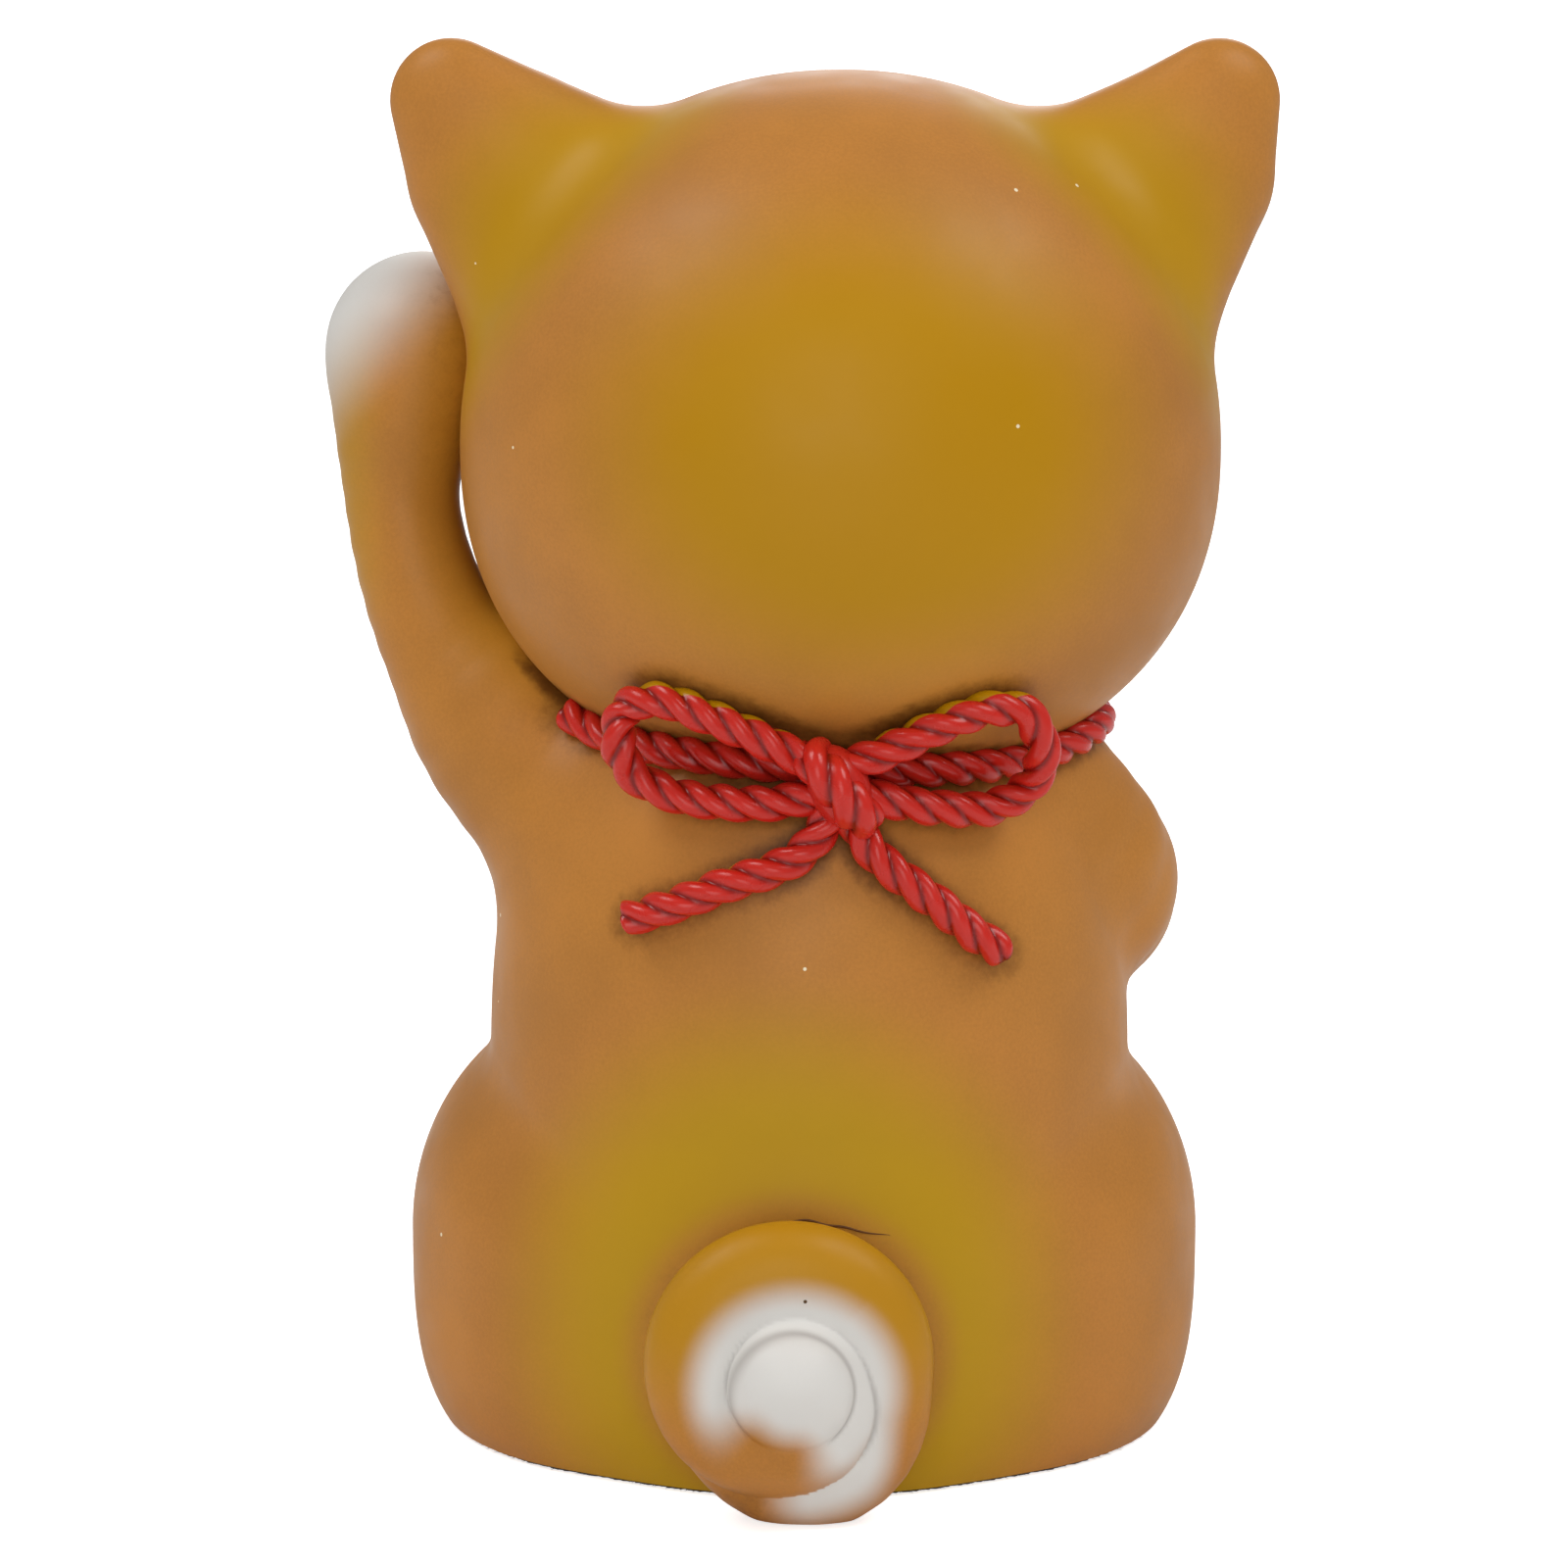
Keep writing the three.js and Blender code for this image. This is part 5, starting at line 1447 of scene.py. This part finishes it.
class FIGURINE_OT_trunk(bpy.types.Operator):
    """Builds the torso casting with the folded arm, and the raised arm casting"""

    bl_idname = "figurine.trunk"
    bl_label = "Torso and raised arm"

    def execute(self, context):
        sizes = context.scene.figurine_sizes
        mass = scored(TRUNK, toe_lines(), *TOE_GROOVE)
        skin, quads = skin_of(mass, sizes.skin_cell / MM)
        direction = unit(RAISED_ARM[1] - RAISED_ARM[0])
        shoulder = RAISED_ARM[0] + direction * SHOULDER_ALONG_ARM
        floor = (0.0, 0.0, BASE_RISE)
        trunk, loops = cut_flat(skin, quads, shoulder, direction)
        arm = cut_flat(skin, quads, shoulder, -direction)
        torso = cut_flat(trunk, loops, floor, (0.0, 0.0, -1.0))
        for name, (points, faces), node in (
                ("torso_painted", torso, "torso_casting"), ("raised_arm_painted", arm, "raised_arm_casting")):
            add_piece(name, points, faces, once("Fur paint", fur_paint),
                      [node], trunk_masks(points), unit(slopes(mass, points)))
        return {"FINISHED"}


class FIGURINE_OT_tail(bpy.types.Operator):
    """Builds the curled tail casting"""

    bl_idname = "figurine.tail"
    bl_label = "Tail"

    def execute(self, context):
        sizes = context.scene.figurine_sizes
        skin, quads = skin_of(TAIL, sizes.tail_cell / MM)
        points, faces = cut_flat(skin, quads, (0.0, 0.0, TAIL_FLOOR_GAP), (0.0, 0.0, -1.0))
        add_piece("tail_painted", points, faces, once("Fur paint", fur_paint),
                  ["tail_casting"], tail_masks(points), unit(slopes(TAIL, points)))
        across, up = TAIL_JOINT.T
        line = seat_behind(TRUNK, TAIL_CENTRE[0] - across, TAIL_CENTRE[2] + up - TAIL_JOINT_DROP, 0 * up)
        points, faces = thread(through(line, 8), TAIL_JOINT_RADIUS)
        add_piece("tail_joint_line", points, faces, once("Fur paint", fur_paint),
                  masks={"line": np.full(len(points), TAIL_JOINT_DARKNESS)})
        return {"FINISHED"}


def add_cord(name, line, node, outward, ends=(0.5, 0.5), scale=1.0, missed=1.0):
    """One laid cord with its masks: how deep between the strands, and where red was missed."""
    sizes = bpy.context.scene.figurine_sizes
    radius = scale * CORD_RADIUS
    points, faces, valley, away = laid_cord(line, radius, sizes.strand_pitch / MM, outward, *ends)
    gap = np.minimum(HEAD.at(*points.T), TRUNK.at(*points.T))
    upper = smooth_step(*MISSED_SIDE, away[:, 2]) * (1 - smooth_step(*MISSED_OFF, gap))
    miss = missed * np.maximum(upper, 1 - smooth_step(*MISSED_FOOT, gap))
    return add_piece(name, points, faces, once("Cord paint", cord_paint),
                     [node], {"valley": valley, "miss": miss})


class FIGURINE_OT_neck_cord(bpy.types.Operator):
    """Builds the cord round the neck"""

    bl_idname = "figurine.neck_cord"
    bl_label = "Neck cord"

    def execute(self, context):
        def outward(places):
            return (places - HEAD_CENTRE) * (1, 1, 0)

        add_cord("neck_cord_laid", neck_route(NECK_CORD_LIFT), "neck_cord", outward, missed=0.0)
        return {"FINISHED"}


class FIGURINE_OT_bow(bpy.types.Operator):
    """Builds the loops, ends and knot of the bow"""

    bl_idname = "figurine.bow"
    bl_label = "Bow"

    def execute(self, context):
        def outward(places):
            return slopes(SADDLE, places)

        for name, places, ends in (
                ("bow_loop_left", LEFT_LOOP, (0.5, 0.5)), ("bow_loop_right", RIGHT_LOOP, (0.5, 0.5)),
                ("bow_end_left", LEFT_END, (0.5, 0.25)), ("bow_end_right", RIGHT_END, (0.5, 0.9))):
            add_cord(name + "_laid", bow_route(places, CORD_LIFT), name, outward, ends)
        place = seat_behind(SADDLE, [KNOT_PLACE[0]], [KNOT_PLACE[1]], [KNOT_SIZE[1] - KNOT_SUNK])[0]

        def from_knot(places):
            return places - place + (0.0, 1.0, 0.0)

        wrap = through(KNOT_WRAP + place, KNOT_POINTS)
        add_cord("bow_knot_wrap", wrap, "bow_knot", from_knot, scale=KNOT_WRAP_SCALE, missed=0.0)
        # The core is painted a little darker, as painted shade under the wrap
        points, faces = closed_tube(dome(place, KNOT_SIZE, KNOT_TILT))
        add_piece("bow_knot_core", points, faces, once("Cord paint", cord_paint),
                  masks={"valley": np.full(len(points), KNOT_CORE_SHADE)})
        return {"FINISHED"}


class FIGURINE_OT_bell(bpy.types.Operator):
    """Builds the bell under the chin"""

    bl_idname = "figurine.bell"
    bl_label = "Bell"

    def execute(self, context):
        """The radius is that of a ball, raised near the equator by a band and lowered along the slot across
        its foot and at the two holes that end the slot. The brown wash and painted shade lie in what is
        lowered and beside the band."""
        route = neck_route(NECK_CORD_LIFT)
        front = route[np.argmin(route[:, 1])]
        seat = seat_in_front(TRUNK, [front[0]], [front[2] - BELL_DROP], [0.0])[0]
        centre = seat + (0.0, -BELL_LIFT, 0.0)
        polar = np.linspace(0, math.pi, BELL_ROWS + 2)[1:-1][:, None]
        angle = around(BELL_SIDES)[None, :]
        x, y = np.sin(polar) * np.cos(angle), np.sin(polar) * np.sin(angle)
        z = np.cos(polar) + 0 * angle
        height = np.abs(z) * BELL_RADIUS
        rim_radius, rim_half, rim_fade = BELL_RIM
        band = (rim_radius - BELL_RADIUS) * (1 - smooth_step(rim_half, rim_half + rim_fade, height))
        below = z < BELL_LOWER
        slot = 1 - smooth_step(*BELL_SLOT_WIDTH, np.abs(y) * BELL_RADIUS)
        slot = slot * (1 - smooth_step(*BELL_SLOT_REACH, np.abs(x) * BELL_RADIUS))
        from_hole = np.hypot(np.abs(x) * BELL_RADIUS - BELL_HOLE_ASIDE, y * BELL_RADIUS)
        sunk = below * np.maximum(slot, 1 - smooth_step(*BELL_HOLE_WIDTH, from_hole))
        radius = BELL_RADIUS + band - BELL_SUNK * sunk
        rings = np.stack([x, y, z], -1)[:, ::-1] * radius[:, ::-1, None] + centre
        points, faces = closed_tube(rings)
        # Brown wash and painted shade beside the band and in what is lowered
        off_rim, strength = BELL_RIM_WASH_AND_SHADE
        edge = strength * np.exp(-((height - rim_half - off_rim) / rim_fade) ** 2)
        low = np.concatenate([np.maximum(sunk, edge)[:, ::-1].ravel(), [0.0, 0.0]])
        add_piece("bell_gold", points, faces, once("Gold paint", gold_paint),
                  ["bell_casting"], {"low": low})
        return {"FINISHED"}


class FIGURINE_OT_coin(bpy.types.Operator):
    """Builds the oval coin under the folded paw"""

    bl_idname = "figurine.coin"
    bl_label = "Coin"

    def execute(self, context):
        """The face is a height over an oval: a rim, a field crossed by low ripples, and a raised oval
        band. Both fade out where the belly comes near. It turns over at the edge, and a narrower bed
        goes into the belly behind."""
        share = np.linspace(0.02, 1, COIN_ROWS)[:, None]
        angle = around(COIN_SIDES)[None, :]
        x = share * COIN_SIZE[0] * np.cos(angle)
        z = share * COIN_SIZE[1] * np.sin(angle)
        from_edge = (1 - share) * COIN_SIZE[0] + 0 * angle
        field = smooth_step(*COIN_RIM, from_edge)
        depth, spacing = COIN_RIPPLE
        middle, width, rise = COIN_BAND
        wave, pace = COIN_WAVE
        ripple = depth * np.cos(2 * math.pi * z / spacing + wave * np.sin(x * pace))
        band = np.exp(-((share - middle) / width) ** 2) + 0 * angle
        inside = 1 - smooth_step(COIN_INSIDE, middle, share + 0 * angle)
        cosine, sine = math.cos(math.radians(COIN_ROLL)), math.sin(math.radians(COIN_ROLL))
        roll = np.array([[cosine, 0, sine], [0, 1, 0], [-sine, 0, cosine]])
        cosine, sine = math.cos(math.radians(90 - COIN_LEAN)), math.sin(math.radians(90 - COIN_LEAN))
        lean = np.array([[1, 0, 0], [0, cosine, -sine], [0, sine, cosine]])
        turn = (lean @ roll).T
        seat = seat_in_front(TRUNK, [COIN_PLACE[0]], [COIN_PLACE[1]], [COIN_PROUD])[0]
        plain = np.stack([x, z, COIN_SIZE[2] - field * COIN_RECESS], -1) @ turn + seat
        clear = smooth_step(*COIN_CLEAR, TRUNK.at(*plain.reshape(-1, 3).T)).reshape(x.shape)
        ripple, band = ripple * clear, band * clear
        relief = ripple * (1 - inside) * (1 - band) + rise * band
        height = COIN_SIZE[2] - field * (COIN_RECESS - relief)
        height -= COIN_EDGE * (1 - smooth_step(0.0, COIN_EDGE, from_edge))
        face = np.stack([x, z, height], -1)
        edge = np.stack([COIN_SIZE[0] * np.cos(angle), COIN_SIZE[1] * np.sin(angle)], -1)
        walls = [np.concatenate([edge * scale, np.full((1, COIN_SIDES, 1), level)], -1)
                 for scale, level in COIN_WALLS]
        rings = np.concatenate([face, *walls], 0)[::-1]
        points, faces = closed_tube(rings @ turn + seat)
        # Brown wash and painted shade in the low field and the troughs of the ripples, less on the band
        low = field * (1 - 0.8 * band) * (0.35 - 2.0 * ripple)
        low = np.concatenate([np.clip(low, 0, 1), np.zeros((len(walls), COIN_SIDES))], 0)[::-1]
        add_piece("coin_gold", points, faces, once("Gold paint", gold_paint),
                  ["coin_casting"], {"low": np.concatenate([low.ravel(), [0.0, 0.0]])})
        return {"FINISHED"}


class FIGURINE_OT_felt(bpy.types.Operator):
    """Builds the felt under the base with its loose fibres"""

    bl_idname = "figurine.felt"
    bl_label = "Felt"

    def execute(self, context):
        """The rim follows the base, drawn in a little and waved by a sum of sines. The fibres are
        thin three sided spikes that stand out from it."""
        sizes = context.scene.figurine_sizes
        count = FELT_SIDES
        angle = around(count)
        outward = np.stack([np.cos(angle), np.sin(angle), 0 * angle], -1)
        starts = outward * FAR_OUT + (0, 0, BASE_RISE)
        rim = walk(TRUNK, starts, -outward, np.zeros(count))
        rough = sum(height * np.sin(waves * angle + shift) for height, waves, shift in FELT_WAVES)
        rows = []
        for share, level in FELT_PROFILE:
            edge = rim - outward * (FELT_INSET - rough[:, None] * (share > 0.95))
            rows.append(np.stack([edge[:, 0] * share, edge[:, 1] * share, np.full(count, level)], -1))
        points, faces = closed_tube(np.array(rows))
        add_piece("felt_rimmed", points, faces, once("Wool felt", wool_felt), ["felt_pad"])
        random = np.random.default_rng(FIBRE_SEED)
        hairs = sizes.felt_fibres
        which = random.integers(0, count, hairs)
        length = sizes.felt_fuzz / MM * random.uniform(*FIBRE_SHARES, hairs)
        root = rim[which] - outward[which] * (FELT_INSET + FIBRE_INSET)
        root[:, 2] = random.uniform(*FIBRE_ROOTS, hairs)
        along = unit(outward[which] + random.normal(0, FIBRE_SPREAD, (hairs, 3)))
        tip = root + along * length[:, None]
        tip[:, 2] = np.clip(tip[:, 2], *FIBRE_TIPS)
        side = unit(np.cross(along, (0.0, 0.0, 1.0)))
        other = np.cross(along, side)
        thick = FIBRE_RADIUS
        corners = [root + thick * side, root + thick * (-0.5 * side + 0.87 * other),
                   root + thick * (-0.5 * side - 0.87 * other), tip]
        points = np.stack(corners, 1).reshape(-1, 3)
        base = 4 * np.arange(hairs)[:, None]
        triangles = np.array([[0, 2, 1], [0, 1, 3], [1, 2, 3], [2, 0, 3]])
        faces = (base[:, :, None] + triangles[None]).reshape(-1, 3)
        add_piece("felt_fibres", points, faces, once("Wool felt", wool_felt))
        return {"FINISHED"}


class FIGURINE_OT_stage(bpy.types.Operator):
    """Sets up the floor, the light, the world and the camera"""

    bl_idname = "figurine.stage"
    bl_label = "Stage"

    def execute(self, context):
        scene = context.scene
        scene.view_settings.view_transform = "Standard"
        self.add_floor(scene)
        self.add_world(scene)
        for name, place, size, power in LAMPS:
            lamp = bpy.data.lights.new(name, "AREA")
            lamp.shape = "DISK"
            lamp.size = size
            lamp.energy = power
            light = bpy.data.objects.new(name, lamp)
            light.location = place
            aim = LAMP_AIM - np.array(place)
            away = math.atan2(math.hypot(aim[0], aim[1]), -aim[2])
            light.rotation_euler = (away, 0.0, math.atan2(aim[1], aim[0]) - math.pi / 2)
            scene.collection.objects.link(light)
        camera = bpy.data.cameras.new("camera")
        camera.sensor_width = CAMERA_SENSOR
        camera.lens = CAMERA_LENS
        camera.clip_start, camera.clip_end = CAMERA_CLIP
        view = bpy.data.objects.new("camera", camera)
        view.location = CAMERA_PLACE
        view.rotation_euler = (math.radians(90 - CAMERA_ELEVATION), 0.0, math.pi)
        scene.collection.objects.link(view)
        scene.camera = view
        return {"FINISHED"}

    def add_floor(self, scene):
        mesh = bpy.data.meshes.new("floor")
        half = FLOOR_HALF
        corners = [(-half, -half, 0), (half, -half, 0), (half, half, 0), (-half, half, 0)]
        mesh.from_pydata(corners, [], [(0, 1, 2, 3)])
        material, tree, shader, _ = new_material("Floor")
        seen = tree.add("ShaderNodeLightPath").outputs["Is Camera Ray"]
        tree.wire(shader, {
            "Base Color": linear(scene.figurine_colours.floor), "Roughness": 0.9,
            "Specular IOR Level": 0.1, "Emission Color": (1.0, 1.0, 1.0, 1.0),
            "Emission Strength": tree.math("MULTIPLY", seen, FLOOR_GLOW)})
        mesh.materials.append(material)
        floor = bpy.data.objects.new("floor", mesh)
        scene.collection.objects.link(floor)

    def add_world(self, scene):
        world = bpy.data.worlds.new("studio")
        world.use_nodes = True
        tree = Tree(world.node_tree)
        world.node_tree.nodes.clear()
        path = tree.add("ShaderNodeLightPath")
        seen = tree.math("MAXIMUM", path.outputs["Is Camera Ray"], path.outputs["Is Transmission Ray"])
        strength = tree.ramp(seen, 0.0, 1.0, WORLD_LIGHT, 1.0)
        light = tree.add("ShaderNodeBackground", {"Color": (1.0, 1.0, 1.0, 1.0), "Strength": strength})
        tree.add("ShaderNodeOutputWorld", {"Surface": light.outputs[0]})
        scene.world = world


class FIGURINE_PT_panel(bpy.types.Panel):
    """Lists the pieces of the figurine"""

    bl_idname = "FIGURINE_PT_panel"
    bl_label = "Beckoning Dog"
    bl_space_type = "VIEW_3D"
    bl_region_type = "UI"
    bl_category = "Figurine"

    def draw(self, context):
        for settings in (context.scene.figurine_sizes, context.scene.figurine_colours):
            box = self.layout.box()
            for key in settings.__annotations__:
                box.prop(settings, key)
        for operator in OPERATORS:
            self.layout.operator(operator.bl_idname)


OPERATORS = (
    FIGURINE_OT_stage,
    FIGURINE_OT_head,
    FIGURINE_OT_trunk,
    FIGURINE_OT_tail,
    FIGURINE_OT_neck_cord,
    FIGURINE_OT_bow,
    FIGURINE_OT_bell,
    FIGURINE_OT_coin,
    FIGURINE_OT_felt,
)
CLASSES = (FigurineSizes, FigurineColours, *OPERATORS, FIGURINE_PT_panel)


def register():
    for each in CLASSES:
        bpy.utils.register_class(each)
    bpy.types.Scene.figurine_sizes = PointerProperty(type=FigurineSizes)
    bpy.types.Scene.figurine_colours = PointerProperty(type=FigurineColours)


def unregister():
    del bpy.types.Scene.figurine_colours
    del bpy.types.Scene.figurine_sizes
    for each in reversed(CLASSES):
        bpy.utils.unregister_class(each)


def main():
    register()
    for operator in OPERATORS:
        family, name = operator.bl_idname.split(".")
        getattr(getattr(bpy.ops, family), name)()


if __name__ == "__main__":
    main()
